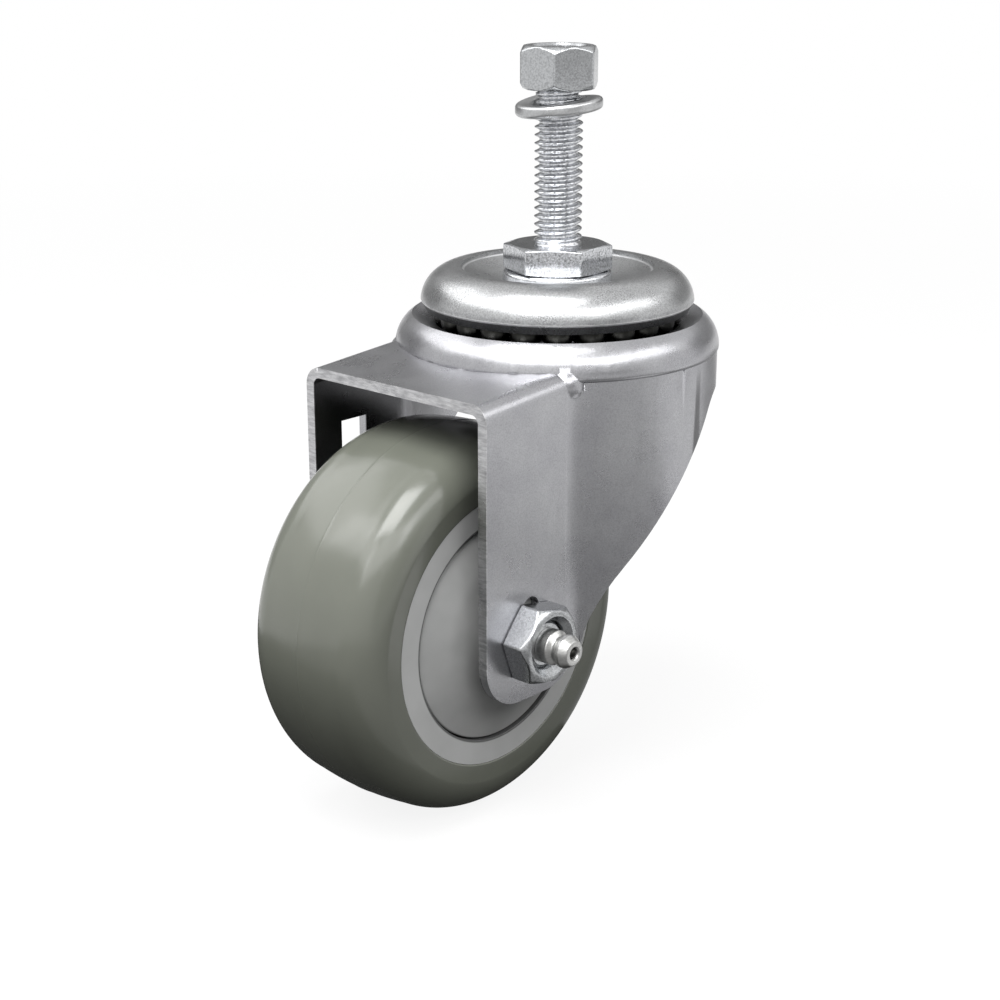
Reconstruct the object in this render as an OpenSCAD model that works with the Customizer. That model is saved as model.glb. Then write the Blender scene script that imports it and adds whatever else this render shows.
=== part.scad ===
// Threaded stem castor with a pressed steel swivel fork.
// Millimetres. Z is the swivel axis and points up the stem; Z = 0 is the seat on top of the stem's
// wrench hexagon. The wheel trails towards -X and its axle lies along Y. The side at -Y carries the
// grease fitting and is called left, the side at +Y carries the axle bolt's head and is called right.

/* [Stem and its fasteners] */
// thread size of the stem (major diameter)
stem_d = 9.525; // [8:0.005:12]
// length of the stem above the wrench hexagon
stem_len = 38.1; // [25:0.1:60]
// length of the first threads at the stem's tip, which are turned slightly small as a lead
stem_lead_len = 13.5; // [5:0.1:20]
// major diameter of those first threads
stem_lead_d = 9.18; // [8:0.01:9.3]
// size across the flats of the wrench hexagon
wrench_af = 19.05; // [17:0.05:24]
// height of the wrench hexagon
wrench_h = 5.3; // [4:0.1:8]
// turn of the wrench hexagon about the stem, in degrees
wrench_turn = 5.5; // [0:0.5:60]
// size across the flats of the stem nut, the lock nut and the axle nut
nut_af = 14.29; // [12:0.01:17]
// height of the stem nut
nut_h = 8.33; // [5:0.01:10]
// height of the stem nut's underside above the seat
nut_z = 30.1; // [10:0.1:30.2]
// turn of the stem nut about the stem, in degrees
nut_turn = 33.6; // [0:0.1:60]
// width of the split washer's coiled bar
washer_bar_w = 3.55; // [2.5:0.05:4.5]
// thickness of the split washer's coiled bar
washer_bar_h = 2.39; // [1.5:0.01:3]
// distance from the nut's underside down to the middle of the washer, which hangs loose on the thread
washer_drop = 3.28; // [2.8:0.01:5]
// height that the hanging washer's high side stands over its middle
washer_tilt = 1.16; // [0:0.01:1.2]
// direction of the high side about the stem, in degrees
washer_tilt_dir = 324; // [0:1:360]
// fall of the coil from its first end to its last, left-handed as on every right-hand nut
washer_fall = 1.49; // [0:0.01:2.4]

/* [Swivel head] */
// radius of the top cup at its widest
cup_r = 27.45; // [24:0.05:32]
// radius of the rolled crown of the top cup, in section
cup_crown_r = 7.1; // [5:0.1:9]
// height of the crown's centre
cup_crown_z = -11.5; // [-14:0.1:-9]
// height of the top cup's lower edge
cup_edge_z = -12.86; // [-15:0.01:-11]
// radius of the top cup at its lower edge
cup_edge_r = 26.4; // [24:0.05:27]
// height of the dish floor, on which the kingpin's collar sits
cup_floor_z = -7.6; // [-9:0.1:-6]
// radius of the crease between the dish and the crown
cup_ring_r = 19.4; // [16:0.1:21]
// diameter of the upper row's balls
upper_ball_d = 5.953; // [4:0.001:7]
// radius of the upper row
upper_row_r = 22.0; // [18:0.1:24]
// height of the upper row
upper_row_z = -14.0; // [-16:0.1:-12]
// number of balls in the upper row
upper_balls_n = 22; // [12:1:26]
// diameter of the lower row's balls
lower_ball_d = 4.7625; // [3:0.0005:6]
// radius of the lower row
lower_row_r = 13.0; // [10:0.1:16]
// height of the lower row
lower_row_z = -18.5; // [-20:0.1:-17]
// number of balls in the lower row
lower_balls_n = 17; // [8:1:17]
// radius of the hollow kingpin's sleeve
kingpin_r = 6.5; // [6:0.1:8]
// radius of the kingpin's collar under the wrench hexagon
collar_r = 11.0; // [8:0.1:12]

/* [Fork] */
// thickness of the fork's sheet
sheet = 2.0; // [1.5:0.1:3]
// half of the fork's width over the two legs
fork_half_w = 23.6; // [18:0.1:30]
// height of the flat roof at its front edge
roof_z = -20.5; // [-24:0.1:-16]
// slope of the roof, which rises from its front edge to the round housing, in degrees
roof_tilt = 4.5; // [0:0.1:8]
// position of the legs' and the roof's front edge
front_x = -46.8; // [-55:0.1:-40]
// outer radius of the bend between roof and legs
bend_r = 3.6; // [2.5:0.1:6]
// radius of the round housing round the swivel axis
housing_r = 32.6; // [28:0.1:36]
// radius of the housing's shoulder, in section
shoulder_r = 7.2; // [4:0.1:9]
// radius of the lip round the ball race
lip_r = 29.3; // [27:0.1:31]
// height of the race surface at the lip
lip_z = -14.1; // [-16:0.1:-12]
// height of the housing's lower edge behind the swivel axis
skirt_z = -28.2; // [-34:0.1:-24]
// radius of the housing's wall below the shoulder band
wall_r = 31.95; // [28:0.05:34]
// distance that this wall stands behind the swivel axis
wall_back = 0.6; // [0:0.1:2]
// radius that rolls the shoulder band in to this wall
seam_r = 0.9; // [0.3:0.05:1.5]
// radius of the hollow between a flat leg and the round wall
hollow_r = 10; // [5:0.5:15]
// radius of the puckered corner where bend, hollow and housing meet
pucker_r = 4.0; // [1:0.1:5]
// width of the window in the right leg
window_w = 6.7; // [4:0.1:10]
// height of the window in the right leg
window_h = 9.0; // [4:0.1:12]

/* [Wheel and axle] */
// diameter of the wheel
wheel_d = 76.2; // [60:0.1:100]
// width of the tread
tread_w = 32.5; // [25:0.1:40]
// distance that the axle trails behind the swivel axis
trail = 34.5; // [25:0.1:45]
// height of the axle
axle_z = -68.25; // [-90:0.05:-50]
// amount that the tread's middle stands out over its shoulders
crown_h = 0.7; // [0:0.1:2]
// radius of the tread's shoulders
tread_shoulder_r = 7.5; // [3:0.1:10]
// outer radius of the core's pale ring beside the tread
core_ring_r = 26.9; // [22:0.1:32]
// inner radius of that ring, round the thread guard
core_mouth_r = 22.1; // [18:0.1:26]
// distance that the ring's face lies inside the tread's side
core_inset = 0.32; // [0.1:0.01:1]
// diameter of the axle bolt
axle_d = 9.525; // [8:0.005:12]
// height of the axle nut
axle_nut_h = 5.55; // [4:0.05:8]
// turn of the axle nut about the axle, in degrees
axle_nut_turn = 50.5; // [0:0.5:60]
// outside diameter of a wheel bearing
bearing_od = 28.575; // [20:0.005:32]
// bore of a wheel bearing
bearing_bore = 12.7; // [10:0.05:15]
// width of a wheel bearing
bearing_w = 7.94; // [6:0.01:10]
// distance of a bearing's outer face from the wheel's middle
bearing_face_y = 12.4; // [9:0.1:16]
// balls in one wheel bearing
bearing_balls_n = 8; // [6:1:10]

/* [What to draw] */
// one piece by name, or all of them

/* [Hidden] */
$fn = 96;
eps = 0.01;
// radial clearance of a turning or threaded fit
run_gap = 0.04;
// radial clearance between a ball and its race groove
race_gap = 0.05;
// radial clearance of a loose washer on the stem
loose_gap = 0.3;

stem_r = stem_d / 2;
thread_bore_r = stem_r + run_gap;
stem_chamfer = 0.9;
collar_z = -wrench_h;
cup_under_z = cup_floor_z - 2.4;
cup_dish_top_z = -5.0;
race_land_z = upper_row_z + 1.8;
upper_groove_r = upper_ball_d / 2 + race_gap;
lower_groove_r = lower_ball_d / 2 + race_gap;
deck_z = -14.4;
groove_edge_z = upper_row_z - 1.6;
lower_cup_under_z = lower_row_z - lower_groove_r - sheet;
kingpin_flange_h = 2.0;
kingpin_flange_r = 9.5;
kingpin_end_z = lower_cup_under_z - kingpin_flange_h;
lock_nut_h = 6.1;
lock_nut_z = kingpin_end_z - lock_nut_h;
stem_bottom_z = lock_nut_z - 1.2;
shoulder_z = roof_z + 0.55;
shoulder_c = housing_r - shoulder_r;
// lower edge of the band under the shoulder, and the top of the wall that carries on below it
band_z = shoulder_z - seam_r;
wall_top_z = shoulder_z - 0.1;
fork_bottom_z = axle_z - 30;
// where the hollows start on the flat legs, and their top, level with the bend there
hollow_x = wall_back - sqrt(pow(wall_r + hollow_r, 2) - pow(fork_half_w + hollow_r, 2));
hollow_top_z = roof_z - bend_r + (hollow_x - front_x) * tan(roof_tilt);
inner_half_w = fork_half_w - sheet;
axle_x = -trail;
axle_r = axle_d / 2;
axle_hole_r = axle_r + 0.15;
wheel_r = wheel_d / 2;
axle_nut_face = fork_half_w + axle_nut_h;
axle_end = axle_nut_face - 1.6;
fitting_thread_r = 3.15;
fitting_depth = 4.6;
grease_hole_r = 1.6;
race_mid_y = bearing_face_y - bearing_w / 2;
bearing_ball_d = 4.7625;
pitch_r = (bearing_od + bearing_bore) / 4;
inner_ring_r = pitch_r - 1.42;
outer_ring_r = pitch_r + 1.42;
bearing_groove_r = bearing_ball_d / 2 + race_gap;
// the core's pale ring, and the rim behind it that the tread is cast on
core_face_y = tread_w / 2 - core_inset;
core_lip_y = core_face_y - 1.33;
core_rim_y = core_face_y - 3.93;
core_rim_r = 29.4;
guard_r = core_mouth_r - 0.35;
guard_rim_y = core_face_y - 0.63;
guard_collar_r = 7.5;

// Points along an arc in the plane of a profile, from angle a0 to a1 in n steps.
function arc(c, r, a0, a1, n) = [for (i = [0:n]) c + r * [cos(a0 + (a1 - a0) * i / n), sin(a0 + (a1 - a0) * i / n)]];

// Carries a piece made about its own Z to the axle: its +Z becomes the row's +Y.
module on_axle() {
  translate([axle_x, 0, axle_z])
    rotate([-90, 0, 0])
      children();
}

// The same for a piece of one side: side is -1 for left and 1 for right, and +Z points outwards.
module on_side(side) {
  on_axle()
    if (side < 0) {
      rotate([180, 0, 0])
        children();
    } else {
      children();
    }
}

// A straight round tube from z0 to z1.
module tube(outer, inner, z0, z1) {
  translate([0, 0, z0])
    difference() {
      cylinder(r = outer, h = z1 - z0);
      translate([0, 0, -1])
        cylinder(r = inner, h = z1 - z0 + 2);
    }
}

// A bored hexagon nut with its corners turned off at the top, and at the bottom if both is true.
module hex_nut(af, h, bore, both = true) {
  corner = af / sqrt(3);
  flat = af / 2;
  drop = 0.9;
  difference() {
    intersection() {
      cylinder(r = corner, h = h, $fn = 6);
      rotate_extrude()
        polygon([
          [0, 0], [both ? flat : corner + 1, 0], [corner + 1, both ? drop * 1.5 : 0],
          [corner + 1, h - drop * 1.5], [flat, h], [0, h]
        ]);
    }
    translate([0, 0, -1])
      cylinder(r = bore, h = h + 2);
    translate([0, 0, h - 0.7])
      cylinder(r1 = bore, r2 = bore + 0.7, h = 0.7 + eps);
  }
}

// A row of balls round Z.
module ball_row(n, ball_d, row_r, z) {
  for (i = [0:n - 1])
    rotate([0, 0, 360 / n * (i + 0.5)])
      translate([row_r, 0, z])
        sphere(d = ball_d, $fn = 48);
}

// STEM AND KINGPIN

// The stem: thread, wrench hexagon and the shank that runs down through the kingpin.
module threaded_stem() {
  lead_z = stem_len - stem_lead_len;
  color("silver") {
    translate([0, 0, stem_bottom_z + stem_chamfer])
      cylinder(r = stem_r, h = lead_z - stem_bottom_z - stem_chamfer);
    translate([0, 0, lead_z])
      cylinder(d = stem_lead_d, h = stem_lead_len - stem_chamfer);
    translate([0, 0, stem_len - stem_chamfer])
      cylinder(r1 = stem_lead_d / 2, r2 = stem_lead_d / 2 - stem_chamfer, h = stem_chamfer);
    translate([0, 0, collar_z])
      rotate([0, 0, wrench_turn])
        cylinder(d = wrench_af / cos(30), h = wrench_h, $fn = 6);
    translate([0, 0, stem_bottom_z])
      cylinder(r1 = stem_r - stem_chamfer, r2 = stem_r, h = stem_chamfer);
  }
}

module stem_nut() {
  color("gainsboro")
    translate([0, 0, nut_z])
      rotate([0, 0, nut_turn])
        hex_nut(nut_af, nut_h, thread_bore_r);
}

module stem_lock_nut() {
  color("gainsboro")
    translate([0, 0, kingpin_end_z])
      rotate([180, 0, 0])
        hex_nut(nut_af, lock_nut_h, thread_bore_r);
}

// The split spring washer: one turn of rounded bar, tilted as it hangs on the thread.
module lock_washer() {
  start = 52;
  turn = 340;
  steps = 60;
  mid_r = stem_r + loose_gap + washer_bar_w / 2;
  corner = 0.8;
  w = washer_bar_w / 2 - corner;
  h = washer_bar_h / 2 - corner;
  section = concat(
    arc([w, -h], corner, 270, 360, 2), arc([w, h], corner, 0, 90, 2),
    arc([-w, h], corner, 90, 180, 2), arc([-w, -h], corner, 180, 270, 2)
  );
  n = len(section);
  points = [
    for (i = [0:steps])
      let (
        u = i / steps,
        a = start + turn * u,
        z = nut_z - washer_drop + washer_tilt * cos(a - washer_tilt_dir) - washer_fall * (u - 0.5)
      )
        for (p = section)
          [(mid_r + p[0]) * cos(a), (mid_r + p[0]) * sin(a), z + p[1]]
  ];
  sides = [
    for (i = [0:steps - 1])
      for (j = [0:n - 1])
        [i * n + j, i * n + (j + 1) % n, (i + 1) * n + (j + 1) % n, (i + 1) * n + j]
  ];
  first_end = [[for (j = [0:n - 1]) n - 1 - j]];
  last_end = [[for (j = [0:n - 1]) steps * n + j]];
  color("silver")
    polyhedron(points = points, faces = concat(sides, first_end, last_end), convexity = 4);
}

// The hollow kingpin: collar on top, sleeve, and the end swaged out under the lower cup.
module kingpin() {
  color("silver")
    rotate_extrude()
      difference() {
        union() {
          translate([0, kingpin_end_z])
            square([kingpin_r, collar_z - kingpin_end_z]);
          translate([0, cup_floor_z])
            square([collar_r - 0.8, collar_z - cup_floor_z]);
          translate([0, cup_floor_z])
            square([collar_r, collar_z - cup_floor_z - 0.8]);
          translate([collar_r - 0.8, collar_z - 0.8])
            circle(r = 0.8);
          translate([0, kingpin_end_z])
            square([kingpin_flange_r - kingpin_flange_h / 2, kingpin_flange_h]);
          translate([kingpin_flange_r - kingpin_flange_h / 2, kingpin_end_z + kingpin_flange_h / 2])
            circle(r = kingpin_flange_h / 2);
        }
        translate([-1, kingpin_end_z - 1])
          square([1 + thread_bore_r, collar_z - kingpin_end_z + 2]);
      }
}

// SWIVEL HEAD

// Section of the top cup's rolled crown, with the race groove and the rim round it.
module crown_2d() {
  crown_x = cup_r - cup_crown_r;
  groove_out = upper_row_r + upper_groove_r + 0.15;
  difference() {
    translate([crown_x, cup_crown_z])
      circle(r = cup_crown_r);
    // cut off at the crease, at the rim's lower edge and under the race land
    translate([0, -40])
      square([cup_ring_r, 40]);
    translate([0, -40])
      square([40, 40 + cup_edge_z]);
    translate([0, cup_edge_z - 1])
      square([groove_out, race_land_z - cup_edge_z + 1]);
    // the lower part of the rim leans in to its edge
    polygon([[cup_edge_r, cup_edge_z - 1], [cup_edge_r, cup_edge_z], [cup_r, -10.9], [cup_r + 2, -10.9], [cup_r + 2, cup_edge_z - 1]]);
    translate([upper_row_r, upper_row_z])
      circle(r = upper_groove_r);
  }
}

// Section of its dished floor, from the kingpin out into the crown.
module dish_2d() {
  bore_r = kingpin_r + run_gap;
  under_r = upper_row_r - 5.8;
  land_r = upper_row_r - 4.8;
  join_r = cup_ring_r + 0.6;
  difference() {
    polygon([
      [bore_r, cup_under_z], [under_r, cup_under_z], [land_r, race_land_z + 0.4], [join_r, race_land_z + 0.4],
      [join_r, cup_dish_top_z], [cup_ring_r, cup_dish_top_z], [collar_r + 0.4, cup_floor_z], [bore_r, cup_floor_z]
    ]);
    translate([upper_row_r, upper_row_z])
      circle(r = upper_groove_r);
  }
}

// The forged top cup: dished floor, rolled crown and rim over the upper row of balls.
module top_cup() {
  color("lightgray") {
    rotate_extrude()
      crown_2d();
    rotate_extrude()
      dish_2d();
  }
}

module upper_balls() {
  color("white")
    ball_row(upper_balls_n, upper_ball_d, upper_row_r, upper_row_z);
}

module lower_balls() {
  color("white")
    ball_row(lower_balls_n, lower_ball_d, lower_row_r, lower_row_z);
}

// The pressed lower cup, held up by the kingpin's swaged end.
module lower_cup() {
  under = lower_cup_under_z;
  color("silver")
    rotate_extrude()
      difference() {
        polygon([
          [kingpin_r + run_gap, under], [lower_row_r + 0.8, under], [16.4, under + 2.2], [17.0, under + 4.0],
          [15.2, under + 4.0], [14.6, under + 2.6], [kingpin_r + run_gap, under + 2.6]
        ]);
        translate([lower_row_r, lower_row_z])
          circle(r = lower_groove_r);
      }
}

// FORK

// Outline of the folded channel across the fork: flat roof, two bends and two legs.
module channel_2d(half, top, r) {
  translate([-half, fork_bottom_z])
    square([2 * half, top - r - fork_bottom_z]);
  translate([-half + r, fork_bottom_z])
    square([2 * (half - r), top - fork_bottom_z]);
  for (s = [-1, 1])
    translate([s * (half - r), top - r])
      circle(r = r);
}

// The channel as a solid from ahead of the front edge back into the round housing, tilted about
// the roof's front edge.
module channel(half, top, r) {
  lead = 8;
  inside_x = -16;
  translate([front_x, 0, roof_z])
    rotate([0, -roof_tilt, 0])
      translate([-lead, 0, -roof_z])
        rotate([90, 0, 90])
          linear_extrude(height = lead + inside_x - front_x)
            channel_2d(half, top, r);
}

// Fills the corner between a flat leg and the round wall with a hollow of the given radius.
module hollow_corners(half, wall, r, top) {
  back_x = -12;
  k = wall / (wall + r);
  for (s = [-1, 1])
    translate([0, 0, fork_bottom_z])
      linear_extrude(height = top - fork_bottom_z)
        difference() {
          polygon([
            [hollow_x, s * half], [hollow_x, s * (half - 4)], [back_x, s * (half - 4)],
            [back_x, s * k * (half + r)], [wall_back + (hollow_x - wall_back) * k, s * k * (half + r)]
          ]);
          translate([hollow_x, s * (half + r)])
            circle(r = r);
        }
}

// Section of the housing's outside: shoulder band, rounded shoulder and the race it carries.
module housing_outside_2d() {
  difference() {
    union() {
      translate([0, band_z])
        square([shoulder_c, deck_z - band_z + 2]);
      translate([0, band_z])
        square([housing_r, shoulder_z - band_z]);
      translate([shoulder_c, shoulder_z])
        circle(r = shoulder_r);
    }
    polygon([
      [-1, deck_z], [upper_row_r - 4.2, deck_z], [upper_row_r - 2.6, groove_edge_z], [upper_row_r + 2.6, groove_edge_z],
      [lip_r - 0.4, lip_z], [lip_r, lip_z + 0.3], [lip_r, 0], [-1, 0]
    ]);
    translate([upper_row_r, upper_row_z])
      circle(r = upper_groove_r);
    translate([0, band_z - 20])
      square([40, 20]);
    // the band's lower corner is rolled in
    polygon(concat(
      [[housing_r + 1, shoulder_z]],
      arc([housing_r - seam_r, shoulder_z], seam_r, 0, -90, 6),
      [[housing_r - seam_r, band_z - 1], [housing_r + 1, band_z - 1]]
    ));
  }
}

// Section of the hollow inside the housing, one sheet in from the outside.
module housing_inside_2d() {
  difference() {
    union() {
      translate([0, band_z - 1])
        square([shoulder_c, deck_z - band_z + 1]);
      translate([0, band_z - 1])
        square([housing_r - sheet, shoulder_z - band_z + 1]);
      translate([shoulder_c, shoulder_z])
        circle(r = shoulder_r - sheet);
    }
    polygon([
      [-1, deck_z - sheet], [upper_row_r - 5, deck_z - sheet], [upper_row_r - 3.8, groove_edge_z - sheet],
      [upper_row_r + 4.2, groove_edge_z - 1.2],
      [lip_r - 0.5, lip_z - sheet + 0.1], [lip_r + 1, 0], [-1, 0]
    ]);
    translate([upper_row_r, upper_row_z])
      circle(r = upper_groove_r + sheet);
  }
}

// The fork's outline seen from the side: straight front edge, rounded leg end, slanting back edge, skirt.
module side_profile_2d() {
  corner = 9;
  end_z = axle_z - 11.8;
  back_x = axle_x + 13.6;
  slope = 48.7;
  knee = [axle_x + 21.5, axle_z + 10.2];
  skirt_turn_r = 8;
  // where the slanting edge would meet the skirt's level
  meet_x = knee[0] + (skirt_z - knee[1]) / tan(slope);
  reach = skirt_turn_r * tan(slope / 2);
  bend_c = [meet_x + reach, skirt_z - skirt_turn_r];
  knee_r = 34;
  knee_c = knee + knee_r * [sin(slope), -cos(slope)];
  polygon(concat(
    [[front_x, 10]],
    arc([front_x + corner, end_z + corner], corner, 180, 270, 12),
    arc([back_x - corner, end_z + corner], corner, 270, 360, 12),
    [for (a = [90 + 78:-(78 - slope) / 6:90 + slope]) knee_c + knee_r * [cos(a), sin(a)]],
    arc(bend_c, skirt_turn_r, 90 + slope, 90, 6),
    [[60, skirt_z], [60, 10]]
  ));
}

module fork() {
  deck_hole_r = 9;
  notch_r = 2.3;
  notch_up = 6.3;
  window_x = axle_x - 5.2;
  window_z = roof_z - 12.2;
  // middle of the puckered corner, which stands a little proud of the hollow beside it
  pucker_out = 0.85;
  pucker = [hollow_x + 2.7, fork_half_w + pucker_out - pucker_r, hollow_top_z + 0.7];
  color("lightgray")
    difference() {
      intersection() {
        union() {
          rotate_extrude()
            housing_outside_2d();
          translate([wall_back, 0, fork_bottom_z])
            cylinder(r = wall_r, h = wall_top_z - fork_bottom_z);
          channel(fork_half_w, roof_z, bend_r);
          hollow_corners(fork_half_w, wall_r, hollow_r, hollow_top_z);
          for (s = [-1, 1])
            translate([pucker[0], s * pucker[1], pucker[2]])
              sphere(r = pucker_r, $fn = 48);
        }
        translate([0, 60, 0])
          rotate([90, 0, 0])
            linear_extrude(height = 120)
              side_profile_2d();
      }
      rotate_extrude()
        housing_inside_2d();
      translate([wall_back, 0, fork_bottom_z - 1])
        cylinder(r = wall_r - sheet, h = band_z - fork_bottom_z);
      channel(inner_half_w, roof_z - sheet, bend_r - sheet);
      hollow_corners(inner_half_w, wall_r - sheet, hollow_r + sheet, hollow_top_z - sheet);
      rotate_extrude()
        translate([lower_row_r, lower_row_z])
          circle(r = lower_groove_r);
      translate([0, 0, deck_z - sheet - 1])
        cylinder(r = deck_hole_r, h = sheet + 2);
      // axle holes with the half-round key notch above each
      on_axle() {
        translate([0, 0, -40])
          cylinder(r = axle_hole_r, h = 80);
        translate([0, -notch_up, -40])
          cylinder(r = notch_r, h = 80);
      }
      translate([window_x, inner_half_w - 1, window_z - window_h])
        cube([window_w, sheet + 2, window_h]);
    }
}

// AXLE

// The axle bolt: hexagon head on the right, drilled for grease from its left end.
module axle_bolt() {
  head_h = 5.95;
  thread_chamfer = 0.7;
  color("silver")
    on_axle()
      difference() {
        union() {
          translate([0, 0, -axle_end + thread_chamfer])
            cylinder(r = axle_r, h = axle_end - thread_chamfer + fork_half_w + 1);
          translate([0, 0, -axle_end])
            cylinder(r1 = axle_r - thread_chamfer, r2 = axle_r, h = thread_chamfer);
          intersection() {
            translate([0, 0, fork_half_w])
              cylinder(d = nut_af / cos(30), h = head_h, $fn = 6);
            translate([0, 0, fork_half_w])
              rotate_extrude()
                polygon([[0, 0], [nut_af, 0], [nut_af, head_h - 1.3], [nut_af / 2, head_h], [0, head_h]]);
          }
        }
        translate([0, 0, -axle_end - 1])
          cylinder(r = fitting_thread_r + run_gap, h = fitting_depth + 1);
        translate([0, 0, -axle_end - 1])
          cylinder(r = grease_hole_r, h = axle_end + 1);
        rotate([0, 90, 0])
          translate([0, 0, -axle_r - 1])
            cylinder(r = grease_hole_r, h = axle_d + 2);
      }
}

module axle_nut() {
  sink = 1.4;
  color("gainsboro")
    on_side(-1)
      difference() {
        translate([0, 0, fork_half_w])
          rotate([0, 0, axle_nut_turn])
            hex_nut(nut_af, axle_nut_h, thread_bore_r, false);
        translate([0, 0, axle_nut_face - sink])
          cylinder(r1 = thread_bore_r, r2 = 6.0, h = sink + eps);
      }
}

// The straight grease fitting screwed into the axle bolt's end.
module grease_fitting() {
  base = axle_end;
  body_r = 3.4;
  neck_r = 2.45;
  head_r = 3.25;
  tip_r = 2.1;
  color("silver")
    on_side(-1)
      difference() {
        rotate_extrude()
          polygon([
            [0, base - fitting_depth + 0.2], [fitting_thread_r, base - fitting_depth + 0.2],
            [fitting_thread_r, base], [body_r, base], [body_r, base + 2.6], [neck_r, base + 3.1],
            [neck_r, base + 3.9], [head_r, base + 4.6], [head_r, base + 5.5], [tip_r + 0.3, base + 6.8],
            [tip_r, base + 7.0], [0, base + 7.0]
          ]);
        translate([0, 0, base - fitting_depth - 1])
          cylinder(r = 0.9, h = 20);
        translate([0, 0, base + 5.4])
          cylinder(r = 1.1, h = 2);
      }
}

module fitting_ball() {
  color("dimgray")
    on_side(-1)
      translate([0, 0, axle_end + 6.05])
        sphere(r = 1.0, $fn = 32);
}

// The sleeve between the legs that the axle bolt clamps and the bearings sit on.
module axle_sleeve() {
  color("silver")
    on_axle()
      difference() {
        tube(bearing_bore / 2, axle_r + run_gap, -inner_half_w, inner_half_w);
        rotate([0, 90, 0])
          translate([0, 0, -10])
            cylinder(r = grease_hole_r, h = 20);
      }
}

module bearing_spacer() {
  half = bearing_face_y - bearing_w;
  color("gray")
    on_axle()
      tube(inner_ring_r - 0.4, bearing_bore / 2 + run_gap, -half, half);
}

// WHEEL BEARINGS

module inner_ring(side) {
  color("silver")
    on_side(side)
      rotate_extrude()
        difference() {
          translate([bearing_bore / 2, race_mid_y - bearing_w / 2])
            square([inner_ring_r - bearing_bore / 2, bearing_w]);
          translate([pitch_r, race_mid_y])
            circle(r = bearing_groove_r);
        }
}

module outer_ring(side) {
  step = 0.9;
  color("silver")
    on_side(side)
      rotate_extrude()
        difference() {
          translate([outer_ring_r, race_mid_y - bearing_w / 2])
            square([bearing_od / 2 - outer_ring_r, bearing_w]);
          translate([pitch_r, race_mid_y])
            circle(r = bearing_groove_r);
          // step that the shield is pressed into
          translate([0, race_mid_y + bearing_w / 2 - step])
            square([outer_ring_r + 0.7, step + 1]);
        }
}

module bearing_balls(side) {
  color("white")
    on_side(side)
      ball_row(bearing_balls_n, bearing_ball_d, pitch_r, race_mid_y);
}

// The ball cage: a thin crown, closed on its inner side, with a round pocket for each ball.
module ball_cage(side) {
  pocket_gap = 0.1;
  color("goldenrod")
    on_side(side)
      difference() {
        tube(pitch_r + 0.6, pitch_r - 0.6, race_mid_y - 3.5, race_mid_y + 1.2);
        for (i = [0:bearing_balls_n - 1])
          rotate([0, 0, 360 / bearing_balls_n * (i + 0.5)])
            translate([pitch_r, 0, race_mid_y])
              sphere(d = bearing_ball_d + 2 * pocket_gap, $fn = 48);
      }
}

module bearing_shield(side) {
  color("dimgray")
    on_side(side)
      tube(outer_ring_r + 0.7, inner_ring_r + 0.15, race_mid_y + bearing_w / 2 - 0.9, race_mid_y + bearing_w / 2 - 0.3);
}

// The dished thread guard: a collar between bearing and leg that carries a disc over the wheel's hub.
module thread_guard(side) {
  thick = 1.2;
  dome_r = 66;
  dome_c = guard_rim_y - sqrt(pow(dome_r, 2) - pow(guard_r, 2));
  color("darkgray")
    on_side(side)
      rotate_extrude() {
        translate([bearing_bore / 2 + run_gap, bearing_face_y])
          square([guard_collar_r - bearing_bore / 2 - run_gap, inner_half_w - bearing_face_y]);
        intersection() {
          difference() {
            translate([0, dome_c])
              circle(r = dome_r, $fn = 256);
            translate([0, dome_c])
              circle(r = dome_r - thick, $fn = 256);
          }
          translate([guard_collar_r - 0.5, 0])
            square([guard_r - guard_collar_r + 0.5, 40]);
        }
        // the rim is turned in towards the wheel
        translate([guard_r - thick, guard_rim_y - 2.4])
          square([thick, 2.4]);
      }
}

// WHEEL

// The moulded core: hub round the bearings, web, and the rim that the tread is cast on.
module wheel_core() {
  hub_r = 18.2;
  hub_y = bearing_face_y + 0.1;
  web_y = 5.5;
  seat_y = bearing_face_y - bearing_w;
  color("gainsboro")
    on_axle()
      rotate_extrude()
        difference() {
          union() {
            translate([0, -hub_y])
              square([hub_r, 2 * hub_y]);
            translate([0, -web_y])
              square([core_rim_r, 2 * web_y]);
            translate([core_mouth_r, -core_face_y])
              square([core_ring_r - core_mouth_r, 2 * core_face_y]);
            polygon([
              [core_ring_r - eps, -core_lip_y], [core_rim_r, -core_rim_y],
              [core_rim_r, core_rim_y], [core_ring_r - eps, core_lip_y]
            ]);
          }
          translate([-1, -seat_y])
            square([1 + outer_ring_r + 0.4, 2 * seat_y]);
          for (s = [-1, 1])
            translate([-1, s > 0 ? seat_y : -40])
              square([1 + bearing_od / 2, 40 - seat_y]);
        }
}

// Section of the tread: crowned face, round shoulders and slightly hollow sides.
module tread_2d() {
  half = tread_w / 2;
  face_r = wheel_r - crown_h;
  shoulder_y = half - tread_shoulder_r;
  crown_r = (pow(shoulder_y, 2) + pow(crown_h, 2)) / (2 * crown_h);
  rise = asin(shoulder_y / crown_r);
  side_lean = 4;
  right = concat(
    [for (a = [0:rise / 6:rise - 0.01]) [wheel_r - crown_r + crown_r * cos(a), crown_r * sin(a)]],
    arc([face_r - tread_shoulder_r, shoulder_y], tread_shoulder_r, 8, 90 - side_lean, 14),
    [[core_ring_r, core_face_y + 0.12]],
    [[core_ring_r, core_lip_y], [core_rim_r, core_rim_y]]
  );
  left = [for (i = [len(right) - 1:-1:1]) [right[i][0], -right[i][1]]];
  polygon(concat(right, left));
}

module tread() {
  color("dimgray")
    on_axle()
      rotate_extrude($fn = 160)
        tread_2d();
}

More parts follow.
